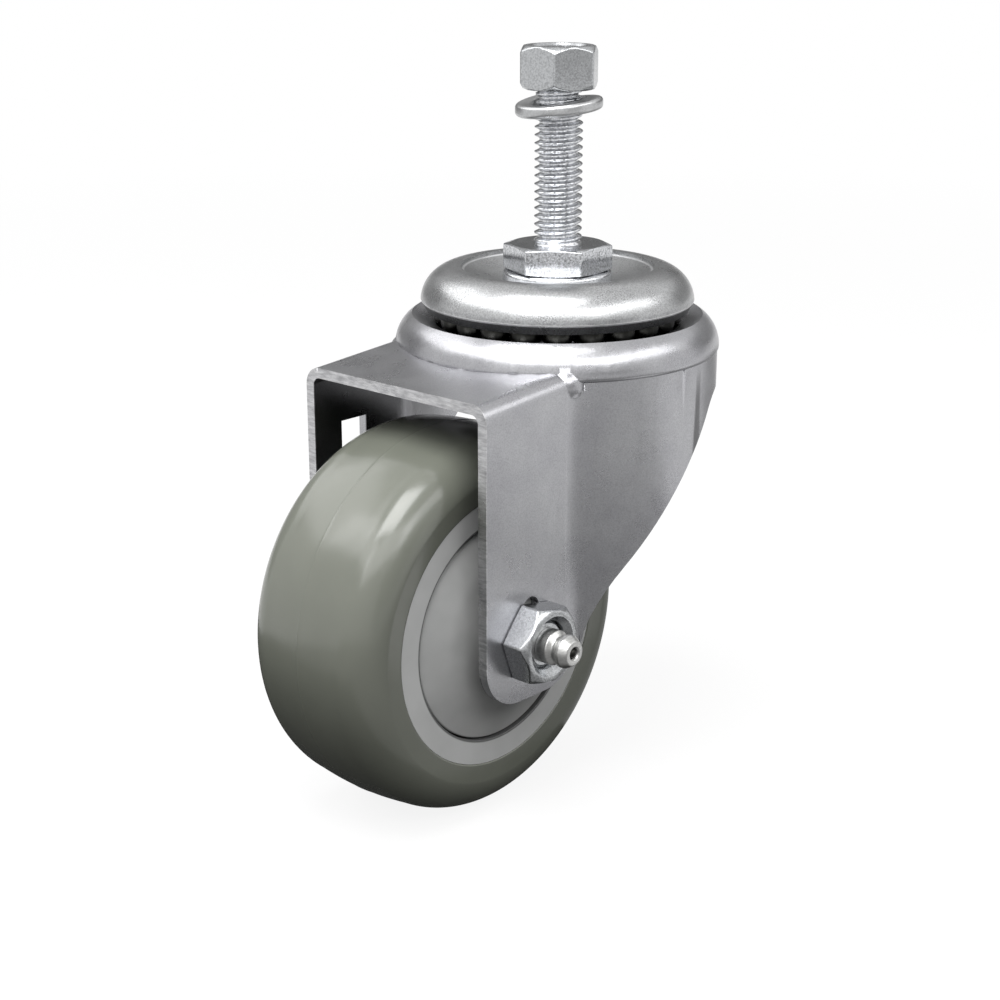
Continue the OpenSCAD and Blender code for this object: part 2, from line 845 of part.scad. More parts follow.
threaded_stem();
stem_nut();
lock_washer();
kingpin();
top_cup();
upper_balls();
fork();
lower_balls();
lower_cup();
stem_lock_nut();
axle_bolt();
axle_nut();
grease_fitting();
fitting_ball();
axle_sleeve();
bearing_spacer();
inner_ring(-1);  // inner_ring_left
inner_ring(1);  // inner_ring_right
bearing_balls(-1);  // bearing_balls_left
bearing_balls(1);  // bearing_balls_right
ball_cage(-1);  // ball_cage_left
ball_cage(1);  // ball_cage_right
outer_ring(-1);  // outer_ring_left
outer_ring(1);  // outer_ring_right
bearing_shield(-1);  // bearing_shield_left
bearing_shield(1);  // bearing_shield_right
thread_guard(-1);  // thread_guard_left
thread_guard(1);  // thread_guard_right
wheel_core();
tread();
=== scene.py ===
"""Dresses the threaded stem castor: zinc-plated head, fork and fasteners, and a grey soft-tread wheel.

Sizes in the dataclasses are in millimetres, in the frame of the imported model: Z up the stem with its
zero on the wrench hexagon's top face, the wheel trailing towards -X, its axle along Y.
"""

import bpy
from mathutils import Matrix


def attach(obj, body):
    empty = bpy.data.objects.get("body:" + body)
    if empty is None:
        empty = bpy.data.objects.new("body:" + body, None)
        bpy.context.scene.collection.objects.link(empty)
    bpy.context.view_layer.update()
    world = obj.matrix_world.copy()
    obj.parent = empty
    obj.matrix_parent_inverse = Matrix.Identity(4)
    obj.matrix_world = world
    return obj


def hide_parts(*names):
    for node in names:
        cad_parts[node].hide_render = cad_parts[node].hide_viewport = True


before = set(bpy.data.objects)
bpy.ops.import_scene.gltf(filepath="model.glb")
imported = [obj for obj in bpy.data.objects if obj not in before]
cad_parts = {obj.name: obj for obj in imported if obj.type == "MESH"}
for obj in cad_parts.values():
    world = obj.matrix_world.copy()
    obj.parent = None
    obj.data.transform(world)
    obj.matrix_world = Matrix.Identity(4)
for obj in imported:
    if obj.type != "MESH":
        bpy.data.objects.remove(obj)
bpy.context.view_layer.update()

import logging
import math
from dataclasses import dataclass, field
from enum import Enum

import bmesh
import bpy
from mathutils import Euler, Matrix, Vector

LOG = logging.getLogger("castor")
Profile = list[tuple[float, float]]
Colour = tuple[float, float, float]

MM = 0.001
BLACK: Colour = (0.0, 0.0, 0.0)
WHITE = (1.0, 1.0, 1.0, 1.0)
# Share of a side that the rounding of one corner may take
MOST_OF_SIDE = 0.49
# The wheel's centre
AXLE = (-34.5, 0.0, -68.25)
# Pitch of every thread, and the nuts' size across the flats and radius of their holes
PITCH = 1.5875
NUT_FLATS = 14.29
NUT_BORE_R = 4.80


class Side(Enum):
    """The two sides of the wheel, with the sign that Y has there."""

    LEFT = -1
    RIGHT = 1


class Grain(Enum):
    """How the grain of a plated surface lies, as its squeeze along each axis."""

    EVEN = (1.0, 1.0, 1.0)
    TURNED = (0.3, 0.3, 3.0)


# Geometry helpers


@dataclass(frozen=True)
class Corner:
    """One corner of a revolved profile.

    Attributes:
        r: Its distance from the axis.
        z: Its height along the axis.
        fillet: Radius that rounds it off.
    """

    r: float
    z: float
    fillet: float = 0.0


def rounded_profile(corners: list[Corner], steps: int = 5) -> Profile:
    """Rounds the corners of an open or closed profile.

    Args:
        corners: The profile's corners in order.
        steps: Pieces in each rounding.

    Returns:
        The points of the rounded profile.
    """
    points: Profile = []
    last = len(corners) - 1
    for i, corner in enumerate(corners):
        here = Vector((corner.r, corner.z))
        if corner.fillet <= 0 or i in (0, last):
            points.append((corner.r, corner.z))
            continue
        before = Vector((corners[i - 1].r, corners[i - 1].z)) - here
        after = Vector((corners[i + 1].r, corners[i + 1].z)) - here
        turn = before.angle(after)
        reach = corner.fillet / math.tan(turn / 2)
        reach = min(reach, before.length * MOST_OF_SIDE, after.length * MOST_OF_SIDE)
        radius = reach * math.tan(turn / 2)
        inward = (before.normalized() + after.normalized()).normalized()
        middle = here + inward * (radius / math.sin(turn / 2))
        start = here + before.normalized() * reach - middle
        end = here + after.normalized() * reach - middle
        sweep = start.angle_signed(end)
        for k in range(steps + 1):
            point = start.copy()
            point.rotate(Matrix.Rotation(-sweep * k / steps, 2))
            points.append(tuple(middle + point))
    return points


def arc(centre: tuple[float, float], radius: float, start: float, end: float, steps: int) -> Profile:
    """Gives points along an arc.

    Args:
        centre: The arc's centre as (r, z).
        radius: The arc's radius.
        start: Angle of the first point in degrees, from +r towards +z.
        end: Angle of the last point in degrees.
        steps: Pieces along the arc.

    Returns:
        The points, first to last.
    """
    turns = [math.radians(start + (end - start) * k / steps) for k in range(steps + 1)]
    return [(centre[0] + radius * math.cos(a), centre[1] + radius * math.sin(a)) for a in turns]


def new_object(name: str, mesh: bpy.types.Mesh) -> bpy.types.Object:
    """Links a mesh into the scene as an object with the given name.

    Args:
        name: Name of the object.
        mesh: Its mesh.

    Returns:
        The object.
    """
    made = bpy.data.objects.new(name, mesh)
    bpy.context.scene.collection.objects.link(made)
    return made


def mesh_of_rings(name: str, rings: list[list[Vector]], closed: bool, capped: bool = False) -> bpy.types.Mesh:
    """Skins a row of rings that have the same number of points.

    Args:
        name: Name of the mesh.
        rings: The rings in order, in millimetres.
        closed: Whether the last ring joins the first.
        capped: Whether the first and last ring are filled.

    Returns:
        The mesh, in metres, with its faces turned outwards.
    """
    around = len(rings[0])
    vertices = [point * MM for ring in rings for point in ring]
    faces: list[list[int]] = []
    for i in range(len(rings) if closed else len(rings) - 1):
        low = i * around
        high = (i + 1) % len(rings) * around
        for j in range(around):
            k = (j + 1) % around
            faces.append([low + j, low + k, high + k, high + j])
    if capped:
        faces.append(list(range(around))[::-1])
        faces.append([(len(rings) - 1) * around + j for j in range(around)])
    mesh = bpy.data.meshes.new(name)
    mesh.from_pydata(vertices, [], faces)
    tidy = bmesh.new()
    tidy.from_mesh(mesh)
    bmesh.ops.remove_doubles(tidy, verts=tidy.verts, dist=1e-7)
    bmesh.ops.dissolve_degenerate(tidy, edges=tidy.edges, dist=1e-7)
    bmesh.ops.recalc_face_normals(tidy, faces=tidy.faces)
    tidy.to_mesh(mesh)
    tidy.free()
    return mesh


def revolve(name: str, profile: Profile, steps: int = 128, closed: bool = True) -> bpy.types.Mesh:
    """Turns a profile of (r, z) points about Z.

    Args:
        name: Name of the mesh.
        profile: The profile's points.
        steps: Pieces round the axis.
        closed: Whether the last point joins the first.

    Returns:
        The mesh.
    """
    rings = []
    for r, z in profile:
        turns = [2 * math.pi * j / steps for j in range(steps)]
        rings.append([Vector((r * math.cos(a), r * math.sin(a), z)) for a in turns])
    return mesh_of_rings(name, rings, closed)


def join_meshes(name: str, meshes: list[bpy.types.Mesh]) -> bpy.types.Mesh:
    """Puts several meshes into one and frees the parts.

    Args:
        name: Name of the whole.
        meshes: The parts.

    Returns:
        The whole.
    """
    whole = bmesh.new()
    for mesh in meshes:
        whole.from_mesh(mesh)
        bpy.data.meshes.remove(mesh)
    joined = bpy.data.meshes.new(name)
    whole.to_mesh(joined)
    whole.free()
    return joined


def rectangle(name: str, width: float, depth: float) -> bpy.types.Mesh:
    """Makes a flat rectangle about its middle, in metres.

    Args:
        name: Name of the mesh.
        width: Its size along X.
        depth: Its size along Y.

    Returns:
        The mesh.
    """
    w, h = width / 2, depth / 2
    mesh = bpy.data.meshes.new(name)
    mesh.from_pydata([(-w, -h, 0), (w, -h, 0), (w, h, 0), (-w, h, 0)], [], [(0, 1, 2, 3)])
    return mesh


def aimed(place: tuple[float, float, float], target: Vector, axis: str) -> Euler:
    """Gives the turn that points an axis of something at a target.

    Args:
        place: Where the thing stands, in metres.
        target: What it points at.
        axis: Which of its axes points there.

    Returns:
        The turn.
    """
    return (target - Vector(place)).to_track_quat(axis, "Y").to_euler()


def smooth(made: bpy.types.Object, sharp_deg: float = 40.0) -> None:
    """Shades an object smooth between its sharp edges, with flat faces kept flat.

    Args:
        made: The object.
        sharp_deg: Angle from which an edge stays sharp.
    """
    made.data.polygons.foreach_set("use_smooth", [True] * len(made.data.polygons))
    made.data.set_sharp_from_angle(angle=math.radians(sharp_deg))
    weighted = made.modifiers.new("flat_faces", "WEIGHTED_NORMAL")
    weighted.keep_sharp = True


# Finishes


def empty_material(name: str) -> bpy.types.Material:
    """Makes a material with an empty node tree.

    Args:
        name: Name of the material.

    Returns:
        The material.
    """
    material = bpy.data.materials.new(name)
    material.use_nodes = True
    material.node_tree.nodes.clear()
    return material


class MaterialSheet:
    """A material under construction: one Principled shader and the nodes that feed it."""

    def __init__(self, name: str) -> None:
        """Starts an empty material with the given name.

        Args:
            name: Name of the material.
        """
        self.material = empty_material(name)
        self.tree = self.material.node_tree
        self.shader = self.tree.nodes.new("ShaderNodeBsdfPrincipled")
        output = self.tree.nodes.new("ShaderNodeOutputMaterial")
        self.link(self.shader.outputs["BSDF"], output.inputs["Surface"])
        self.place = self.tree.nodes.new("ShaderNodeTexCoord").outputs["Object"]

    def link(self, source: bpy.types.NodeSocket, target: bpy.types.NodeSocket) -> None:
        """Joins two sockets."""
        self.tree.links.new(source, target)

    def set(self, socket: str, value: float | tuple[float, ...]) -> None:
        """Sets one of the shader's own sockets."""
        self.shader.inputs[socket].default_value = value

    def feed(self, socket: str, source: bpy.types.NodeSocket) -> None:
        """Joins a socket to one of the shader's own."""
        self.link(source, self.shader.inputs[socket])

    def stretched(self, scale: tuple[float, float, float]) -> bpy.types.NodeSocket:
        """Gives the place on the object, scaled along each axis.

        Args:
            scale: The scale along X, Y and Z.

        Returns:
            The scaled place.
        """
        mapping = self.tree.nodes.new("ShaderNodeMapping")
        mapping.inputs["Scale"].default_value = scale
        self.link(self.place, mapping.inputs["Vector"])
        return mapping.outputs["Vector"]

    def noise(self, size_mm: float, detail: float = 3.0, rough: float = 0.55,
              scale: tuple[float, float, float] = (1.0, 1.0, 1.0)) -> bpy.types.NodeSocket:
        """Adds a noise.

        Args:
            size_mm: Size of its largest features.
            detail: Octaves of finer features.
            rough: Strength of the finer features.
            scale: Squeeze along each axis, for streaks.

        Returns:
            The noise's factor, from 0 to 1.
        """
        node = self.tree.nodes.new("ShaderNodeTexNoise")
        node.inputs["Scale"].default_value = 1000.0 / size_mm
        node.inputs["Detail"].default_value = detail
        node.inputs["Roughness"].default_value = rough
        self.link(self.stretched(scale), node.inputs["Vector"])
        return node.outputs["Fac"]

    def ranged(self, value: bpy.types.NodeSocket, low: float, high: float,
               start: float = 0.3, end: float = 0.7) -> bpy.types.NodeSocket:
        """Maps a value between start and end onto low to high.

        Args:
            value: The value.
            low: What it gives at the start.
            high: What it gives at the end.
            start: Value at the start.
            end: Value at the end.

        Returns:
            The mapped value.
        """
        node = self.tree.nodes.new("ShaderNodeMapRange")
        for socket, number in (("From Min", start), ("From Max", end), ("To Min", low), ("To Max", high)):
            node.inputs[socket].default_value = number
        self.link(value, node.inputs["Value"])
        return node.outputs["Result"]

    def mixed(self, factor: bpy.types.NodeSocket, dark: Colour, light: Colour) -> bpy.types.NodeSocket:
        """Mixes two colours by a factor.

        Args:
            factor: Nought for the dark colour, one for the light one.
            dark: The dark colour.
            light: The light colour.

        Returns:
            The mixed colour.
        """
        node = self.tree.nodes.new("ShaderNodeMix")
        node.data_type = "RGBA"
        node.inputs["A"].default_value = (*dark, 1.0)
        node.inputs["B"].default_value = (*light, 1.0)
        self.link(factor, node.inputs["Factor"])
        return node.outputs["Result"]

    def blended(self, factor: bpy.types.NodeSocket, first: bpy.types.NodeSocket,
                second: bpy.types.NodeSocket) -> bpy.types.NodeSocket:
        """Blends from the first colour to the second by a factor.

        Args:
            factor: Nought for the first colour, one for the second.
            first: The first colour.
            second: The second colour.

        Returns:
            The blended colour.
        """
        node = self.tree.nodes.new("ShaderNodeMix")
        node.data_type = "RGBA"
        self.link(factor, node.inputs["Factor"])
        self.link(first, node.inputs["A"])
        self.link(second, node.inputs["B"])
        return node.outputs["Result"]

    def flat(self, colour: Colour) -> bpy.types.NodeSocket:
        """One colour as a socket.

        Args:
            colour: The colour.

        Returns:
            The socket that gives it.
        """
        node = self.tree.nodes.new("ShaderNodeRGB")
        node.outputs[0].default_value = (*colour, 1.0)
        return node.outputs[0]

    def maths(self, operation: str, first: bpy.types.NodeSocket | float,
              second: bpy.types.NodeSocket | float = 0.0) -> bpy.types.NodeSocket:
        """One sum on sockets or plain numbers.

        Args:
            operation: Blender's name for the sum.
            first: The first number.
            second: The second number, where the sum has one.

        Returns:
            The result.
        """
        node = self.tree.nodes.new("ShaderNodeMath")
        node.operation = operation
        for slot, value in zip(node.inputs, (first, second)):
            if isinstance(value, bpy.types.NodeSocket):
                self.link(value, slot)
            else:
                slot.default_value = value
        return node.outputs[0]

    def product(self, *factors: bpy.types.NodeSocket | float) -> bpy.types.NodeSocket:
        """Multiplies two or more sockets or plain numbers.

        Args:
            factors: What is multiplied.

        Returns:
            The product.
        """
        whole = factors[0]
        for factor in factors[1:]:
            whole = self.maths("MULTIPLY", whole, factor)
        return whole

    def axes(self) -> tuple[bpy.types.NodeSocket, ...]:
        """Gives the place on the object as its X, Y and Z, in metres.

        Returns:
            The three places.
        """
        split = self.tree.nodes.new("ShaderNodeSeparateXYZ")
        self.link(self.place, split.inputs[0])
        return tuple(split.outputs[axis] for axis in "XYZ")

    def reach(self, first: bpy.types.NodeSocket, second: bpy.types.NodeSocket) -> bpy.types.NodeSocket:
        """Gives the distance from an axis, from the distances along the two others."""
        squares = self.maths("ADD", self.product(first, first), self.product(second, second))
        return self.maths("SQRT", squares)

    def below(self, value: bpy.types.NodeSocket, limit_mm: float, soft_mm: float) -> bpy.types.NodeSocket:
        """One below a limit, nought above it, with a soft edge."""
        return self.ranged(value, 1.0, 0.0, (limit_mm - soft_mm) * MM, (limit_mm + soft_mm) * MM)

    def above(self, value: bpy.types.NodeSocket, limit_mm: float, soft_mm: float) -> bpy.types.NodeSocket:
        """One above a limit, nought below it, with a soft edge."""
        return self.maths("SUBTRACT", 1.0, self.below(value, limit_mm, soft_mm))

    def near(self, value: bpy.types.NodeSocket, middle_mm: float, half_mm: float,
             soft_mm: float) -> bpy.types.NodeSocket:
        """One within half_mm of a middle, nought farther off, with a soft edge."""
        away = self.maths("ABSOLUTE", self.maths("SUBTRACT", value, middle_mm * MM))
        return self.below(away, half_mm, soft_mm)

    def bump(self, height: bpy.types.NodeSocket, depth_mm: float, strength: float = 1.0) -> None:
        """Raises the surface by a height map, on top of any bump already there.

        Args:
            height: The height map.
            depth_mm: How high its whole range is.
            strength: How much of that shows.
        """
        node = self.tree.nodes.new("ShaderNodeBump")
        node.inputs["Distance"].default_value = depth_mm * MM
        node.inputs["Strength"].default_value = strength
        self.link(height, node.inputs["Height"])
        normal = self.shader.inputs["Normal"]
        if normal.is_linked:
            self.link(normal.links[0].from_socket, node.inputs["Normal"])
        self.link(node.outputs["Normal"], normal)


@dataclass(frozen=True)
class ZincPlate:
    """Bright zinc plate on steel: a grey metal with a fine grain and softly uneven gloss.

    Attributes:
        name: Name of the material.
        colour: Colour of the plate, linear.
        roughness: Roughness of the plate where it is brightest.
        spread: How much rougher the dull places are.
        grain_mm: Size of the grain.
        grain_depth_mm: Depth of the grain.
        speckle: How much darker the grain's hollows are.
        grain: How the grain lies.
        crest_gain: How much lighter the grain's crests are, of the speckle.
        cloud_mm: Size of the clouds of uneven gloss.
        wave_mm: Size of the plate's slight waves.
        wave_depth_mm: Depth of those waves.
    """

    name: str
    colour: Colour
    roughness: float
    spread: float
    grain_mm: float
    grain_depth_mm: float
    speckle: float
    grain: Grain = Grain.EVEN
    crest_gain: float = 0.4
    cloud_mm: float = 9.0
    wave_mm: float = 3.0
    wave_depth_mm: float = 0.05

    def build(self) -> bpy.types.Material:
        """Makes the material.

        Returns:
            The material.
        """
        sheet = MaterialSheet(self.name)
        sheet.set("Metallic", 1.0)
        cloud = sheet.noise(self.cloud_mm, 4.0, 0.6)
        grain = sheet.noise(self.grain_mm, 3.0, 0.6, self.grain.value)
        dull = tuple(c * (1.0 - self.speckle) for c in self.colour)
        bright = tuple(min(1.0, c * (1.0 + self.crest_gain * self.speckle)) for c in self.colour)
        plate = sheet.mixed(sheet.ranged(grain, 0.0, 1.0, 0.34, 0.6), dull, bright)
        sheet.feed("Base Color", self.tinted(sheet, plate))
        sheet.feed("Roughness", sheet.ranged(cloud, self.roughness + self.spread, self.roughness))
        sheet.bump(sheet.noise(self.wave_mm, 2.0, 0.5), self.wave_depth_mm, 0.5)
        sheet.bump(grain, self.grain_depth_mm)
        return sheet.material

    def tinted(self, sheet: MaterialSheet, plate: bpy.types.NodeSocket) -> bpy.types.NodeSocket:
        """Hook for a plate that isn't the same all over.

        Args:
            sheet: The material under construction.
            plate: The colour of the plate.

        Returns:
            The colour with the differences in it.
        """
        return plate


@dataclass(frozen=True)
class ForkPlate(ZincPlate):
    """Zinc plate on the pressed fork: lighter on the sheared front edge, with painted shade darkening the
    inside of the channel.

    Attributes:
        front_x_mm: Place of the sheared front edge on X.
        inner_half_mm: Half the width between the legs.
        roof_under_mm: Height of the roof's underside at the front edge.
        roof_slope: Rise of the roof towards +X.
        inner_wall_mm: Inner radius of the round wall.
        shaded_inside_share: How much brightness the painted shade leaves inside the channel, of the outside.
        margin_mm: How far into the sheet the painted shade inside reaches.
        soft_mm: Half the width of its soft border.
        edge_margin_mm: How far behind the front edge its own finish reaches.
        edge_soft_mm: Half the width of that finish's border.
        stain: Colour of the plate's faint stains.
        stain_mm: Size of the stains.
        stain_most: How strong they are at most.
        torn_dark: Darker colour of the sheared edge.
        torn_light: Lighter colour of the sheared edge.
    """

    front_x_mm: float = -46.8
    inner_half_mm: float = 21.6
    roof_under_mm: float = -22.5
    roof_slope: float = 0.0787
    inner_wall_mm: float = 29.95
    shaded_inside_share: float = 0.30
    margin_mm: float = 0.3
    soft_mm: float = 0.15
    edge_margin_mm: float = 0.2
    edge_soft_mm: float = 0.07
    stain: Colour = (0.10, 0.09, 0.13)
    stain_mm: float = 13.0
    stain_most: float = 0.20
    torn_dark: Colour = (0.32, 0.32, 0.33)
    torn_light: Colour = (0.64, 0.64, 0.65)

    def tinted(self, sheet: MaterialSheet, plate: bpy.types.NodeSocket) -> bpy.types.NodeSocket:
        """Lays the stains, the painted shade inside the channel and the sheared edge over the plate.

        Args:
            sheet: The material under construction.
            plate: The colour of the plate.

        Returns:
            The colour of the fork.
        """
        x, y, z = sheet.axes()
        behind = sheet.above(x, self.front_x_mm + self.edge_margin_mm, self.edge_soft_mm)
        stained = sheet.ranged(sheet.noise(self.stain_mm, 4.0, 0.6), 0.0, self.stain_most)
        plate = sheet.blended(stained, plate, sheet.flat(self.stain))
        # Painted shade: darkens the inside of the channel towards black.
        dark = sheet.product(behind, self.inside(sheet, x, y, z), 1.0 - self.shaded_inside_share)
        plate = sheet.blended(dark, plate, sheet.flat(BLACK))
        torn = sheet.noise(0.5, 3.0, 0.7, (0.2, 0.2, 1.0))
        edge = sheet.mixed(sheet.ranged(torn, 0.0, 1.0), self.torn_dark, self.torn_light)
        return sheet.blended(behind, edge, plate)

    def inside(self, sheet: MaterialSheet, x: bpy.types.NodeSocket, y: bpy.types.NodeSocket,
               z: bpy.types.NodeSocket) -> bpy.types.NodeSocket:
        """Tells the channel's inside, where shade is painted, from its outside.

        Args:
            sheet: The material under construction.
            x: The place on X.
            y: The place on Y.
            z: The place on Z.

        Returns:
            One under the roof, between the legs and within the round wall, nought outside.
        """
        level = sheet.maths("SUBTRACT", z, sheet.product(x, self.roof_slope))
        roof = self.roof_under_mm - self.front_x_mm * self.roof_slope
        under = sheet.below(level, roof + self.margin_mm, self.soft_mm)
        leg = self.inner_half_mm + self.edge_margin_mm
        between = sheet.below(sheet.maths("ABSOLUTE", y), leg, self.soft_mm)
        walled = sheet.below(sheet.reach(x, y), self.inner_wall_mm + self.margin_mm, self.soft_mm)
        ahead = sheet.below(x, 0.0, 0.5)
        return sheet.product(under, between, sheet.maths("MAXIMUM", walled, ahead))


@dataclass(frozen=True)
class CupPlate(ZincPlate):
    """Zinc plate on the top cup: painted shade under its rolled lip, a painted dark reflection band above it,
    and painted highlight lines along the lip and round the dish.

    Attributes:
        lip_mm: Height at which the lip turns under.
        shaded_under_share: How much brightness the painted shade leaves on the lip's underside, of the
            outside.
        lip_line_mm: Height of the painted highlight along the lip's lower edge.
        lip_half_mm: Half the width of that line.
        rolled_mm: Height of the middle of the painted dark reflection band on the rolled crown above it.
        rolled_half_mm: Half the height of that band.
        rolled_most: How strong the band's painted dark reflection is at most.
        rim_mm: Radius of the painted highlight line round the dish.
        rim_half_mm: Half the width of that line.
        rim_low_mm: Height under which that line ends.
        dark_reflection: Colour of the painted dark reflection, broken into grain-like streaks.
        rim: Colour of the painted highlight round the dish.
        lip_highlight: Colour of the painted highlight along the lip.
    """

    lip_mm: float = -11.30
    shaded_under_share: float = 0.30
    lip_line_mm: float = -11.05
    lip_half_mm: float = 0.17
    rolled_mm: float = -10.6
    rolled_half_mm: float = 0.45
    rolled_most: float = 0.45
    rim_mm: float = 18.85
    rim_half_mm: float = 0.22
    rim_low_mm: float = -6.2
    dark_reflection: Colour = (0.12, 0.12, 0.13)
    rim: Colour = (0.92, 0.92, 0.93)
    lip_highlight: Colour = (0.95, 0.95, 0.95)

    def tinted(self, sheet: MaterialSheet, plate: bpy.types.NodeSocket) -> bpy.types.NodeSocket:
        """Lays the painted highlight lines, the painted dark reflection band and the painted shade under the
        lip over the plate.

        Args:
            sheet: The material under construction.
            plate: The colour of the plate.

        Returns:
            The colour of the cup.
        """
        x, y, z = sheet.axes()
        # Noise that breaks up the painted highlight lines.
        highlight_break = sheet.ranged(sheet.noise(2.2, 3.0, 0.6), 0.55, 1.0)
        # Painted highlight: a bright line round the dish, at its edge with the crown.
        round_dish = sheet.near(sheet.reach(x, y), self.rim_mm, self.rim_half_mm, 0.10)
        round_dish = sheet.product(round_dish, highlight_break, sheet.above(z, self.rim_low_mm, 0.1))
        plate = sheet.blended(round_dish, plate, sheet.flat(self.rim))
        # Painted dark reflection: a dark band on the rolled crown above the lip, broken into grain-like
        # streaks.
        reflection_streaks = sheet.ranged(sheet.noise(0.7, 3.0, 0.7, (0.35, 0.35, 1.0)), 0.0, self.rolled_most)
        band = sheet.product(sheet.near(z, self.rolled_mm, self.rolled_half_mm, 0.25), reflection_streaks)
        plate = sheet.blended(band, plate, sheet.flat(self.dark_reflection))
        # Painted shade: the lip's underside darkened towards black.
        under = sheet.product(sheet.below(z, self.lip_mm, 0.08), 1.0 - self.shaded_under_share)
        plate = sheet.blended(under, plate, sheet.flat(BLACK))
        # Painted highlight: a bright line along the lip's lower edge.
        line = sheet.product(sheet.near(z, self.lip_line_mm, self.lip_half_mm, 0.06), highlight_break)
        return sheet.blended(line, plate, sheet.flat(self.lip_highlight))


@dataclass(frozen=True)
class StemPlate(ZincPlate):
    """Zinc plate on the turned stem, with dark spots on the wrench hexagon's sides.

    Attributes:
        hexagon_r_mm: Radius from which the spots show.
        hexagon_low_mm: Height from which they show.
        hexagon_high_mm: Height up to which they show.
        spot_mm: Size of the spots.
        spot_most: How strong they are at most.
        spot: Colour of the spots.
    """

    hexagon_r_mm: float = 9.0
    hexagon_low_mm: float = -5.25
    hexagon_high_mm: float = -0.35
    spot_mm: float = 0.48
    spot_most: float = 0.62
    spot: Colour = (0.10, 0.10, 0.10)

    def tinted(self, sheet: MaterialSheet, plate: bpy.types.NodeSocket) -> bpy.types.NodeSocket:
        """Lays the spots over the hexagon's sides.

        Args:
            sheet: The material under construction.
            plate: The colour of the plate.

        Returns:
            The colour of the stem.
        """
        x, y, z = sheet.axes()
        sides = sheet.above(sheet.reach(x, y), self.hexagon_r_mm, 0.1)
        high = sheet.below(z, self.hexagon_high_mm, 0.1)
        low = sheet.above(z, self.hexagon_low_mm, 0.05)
        spots = sheet.ranged(sheet.noise(self.spot_mm, 3.0, 0.7), 0.0, self.spot_most, 0.50, 0.66)
        return sheet.blended(sheet.product(spots, sides, high, low), plate, sheet.flat(self.spot))


@dataclass(frozen=True)
class Polyurethane:
    """The tread's moulded polyurethane: grey-green, glossy, a little cloudy and faintly rippled.

    Attributes:
        name: Name of the material.
        dark: Colour of the darker places, linear.
        light: Colour of the lighter places, linear.
        smooth: Roughness of the smoother places.
        rough: Roughness of the rougher places.
        ior: Its index of refraction.
    """

    name: str = "tread_polyurethane"
    dark: Colour = (0.150, 0.158, 0.132)
    light: Colour = (0.166, 0.174, 0.146)
    smooth: float = 0.17
    rough: float = 0.23
    ior: float = 1.55

    def build(self) -> bpy.types.Material:
        """Makes the material.

        Returns:
            The material.
        """
        sheet = MaterialSheet(self.name)
        cloud = sheet.noise(16.0, 4.0, 0.5)
        fine = sheet.noise(1.6, 3.0, 0.6)
        sheet.feed("Base Color", sheet.mixed(sheet.ranged(cloud, 0.0, 1.0), self.dark, self.light))
        sheet.feed("Roughness", sheet.ranged(fine, self.smooth, self.rough))
        sheet.set("Specular IOR Level", 0.5)
        sheet.set("IOR", self.ior)
        sheet.bump(sheet.noise(7.0, 2.0, 0.4), 0.04, 0.6)
        sheet.bump(fine, 0.002)
        return sheet.material


@dataclass(frozen=True)
class MouldedPlastic:
    """Matte moulded plastic with a fine eroded surface.

    Attributes:
        name: Name of the material.
        dark: Colour of the darker places, linear.
        light: Colour of the lighter places, linear.
        roughness: Roughness of the smoother places.
        spread: How much rougher the other places are.
        texture_mm: Size of the eroded surface's bumps.
        texture_depth_mm: Depth of those bumps.
    """

    name: str
    dark: Colour
    light: Colour
    roughness: float = 0.48
    spread: float = 0.14
    texture_mm: float = 0.25
    texture_depth_mm: float = 0.012

    def build(self) -> bpy.types.Material:
        """Makes the material.

        Returns:
            The material.
        """
        sheet = MaterialSheet(self.name)
        cloud = sheet.noise(11.0, 3.0, 0.5)
        eroded = sheet.noise(self.texture_mm, 3.0, 0.6)
        plastic = sheet.mixed(sheet.ranged(cloud, 0.0, 1.0), self.dark, self.light)
        sheet.feed("Base Color", self.tinted(sheet, plastic))
        sheet.feed("Roughness", sheet.ranged(eroded, self.roughness, self.roughness + self.spread))
        sheet.bump(eroded, self.texture_depth_mm)
        return sheet.material

    def tinted(self, sheet: MaterialSheet, plastic: bpy.types.NodeSocket) -> bpy.types.NodeSocket:
        """Hook for a plastic that isn't the same all over.

        Args:
            sheet: The material under construction.
            plastic: The colour of the plastic.

        Returns:
            The colour with the differences in it.
        """
        return plastic


@dataclass(frozen=True)
class CorePlastic(MouldedPlastic):
    """The core's plastic, with painted shade in the groove round the thread guards.

    Attributes:
        axle_mm: Place of the axle on X and Z.
        groove_mm: Radius that the painted shade reaches out to.
        groove_shade_share: How much of the plastic the painted shade hides.
        groove_shade: Colour of the painted shade.
    """

    axle_mm: tuple[float, float] = (AXLE[0], AXLE[2])
    groove_mm: float = 22.5
    groove_shade_share: float = 0.85
    groove_shade: Colour = (0.02, 0.02, 0.02)

    def tinted(self, sheet: MaterialSheet, plastic: bpy.types.NodeSocket) -> bpy.types.NodeSocket:
        """Lays the painted groove shade over the plastic.

        Args:
            sheet: The material under construction.
            plastic: The colour of the plastic.

        Returns:
            The colour of the core.
        """
        x, _, z = sheet.axes()
        along = sheet.maths("SUBTRACT", x, self.axle_mm[0] * MM)
        up = sheet.maths("SUBTRACT", z, self.axle_mm[1] * MM)
        # Painted shade: near black in the groove between the core's ring and the thread guard.
        shaded_groove = sheet.below(sheet.reach(along, up), self.groove_mm, 0.12)
        return sheet.blended(sheet.product(shaded_groove, self.groove_shade_share), plastic, sheet.flat(self.groove_shade))


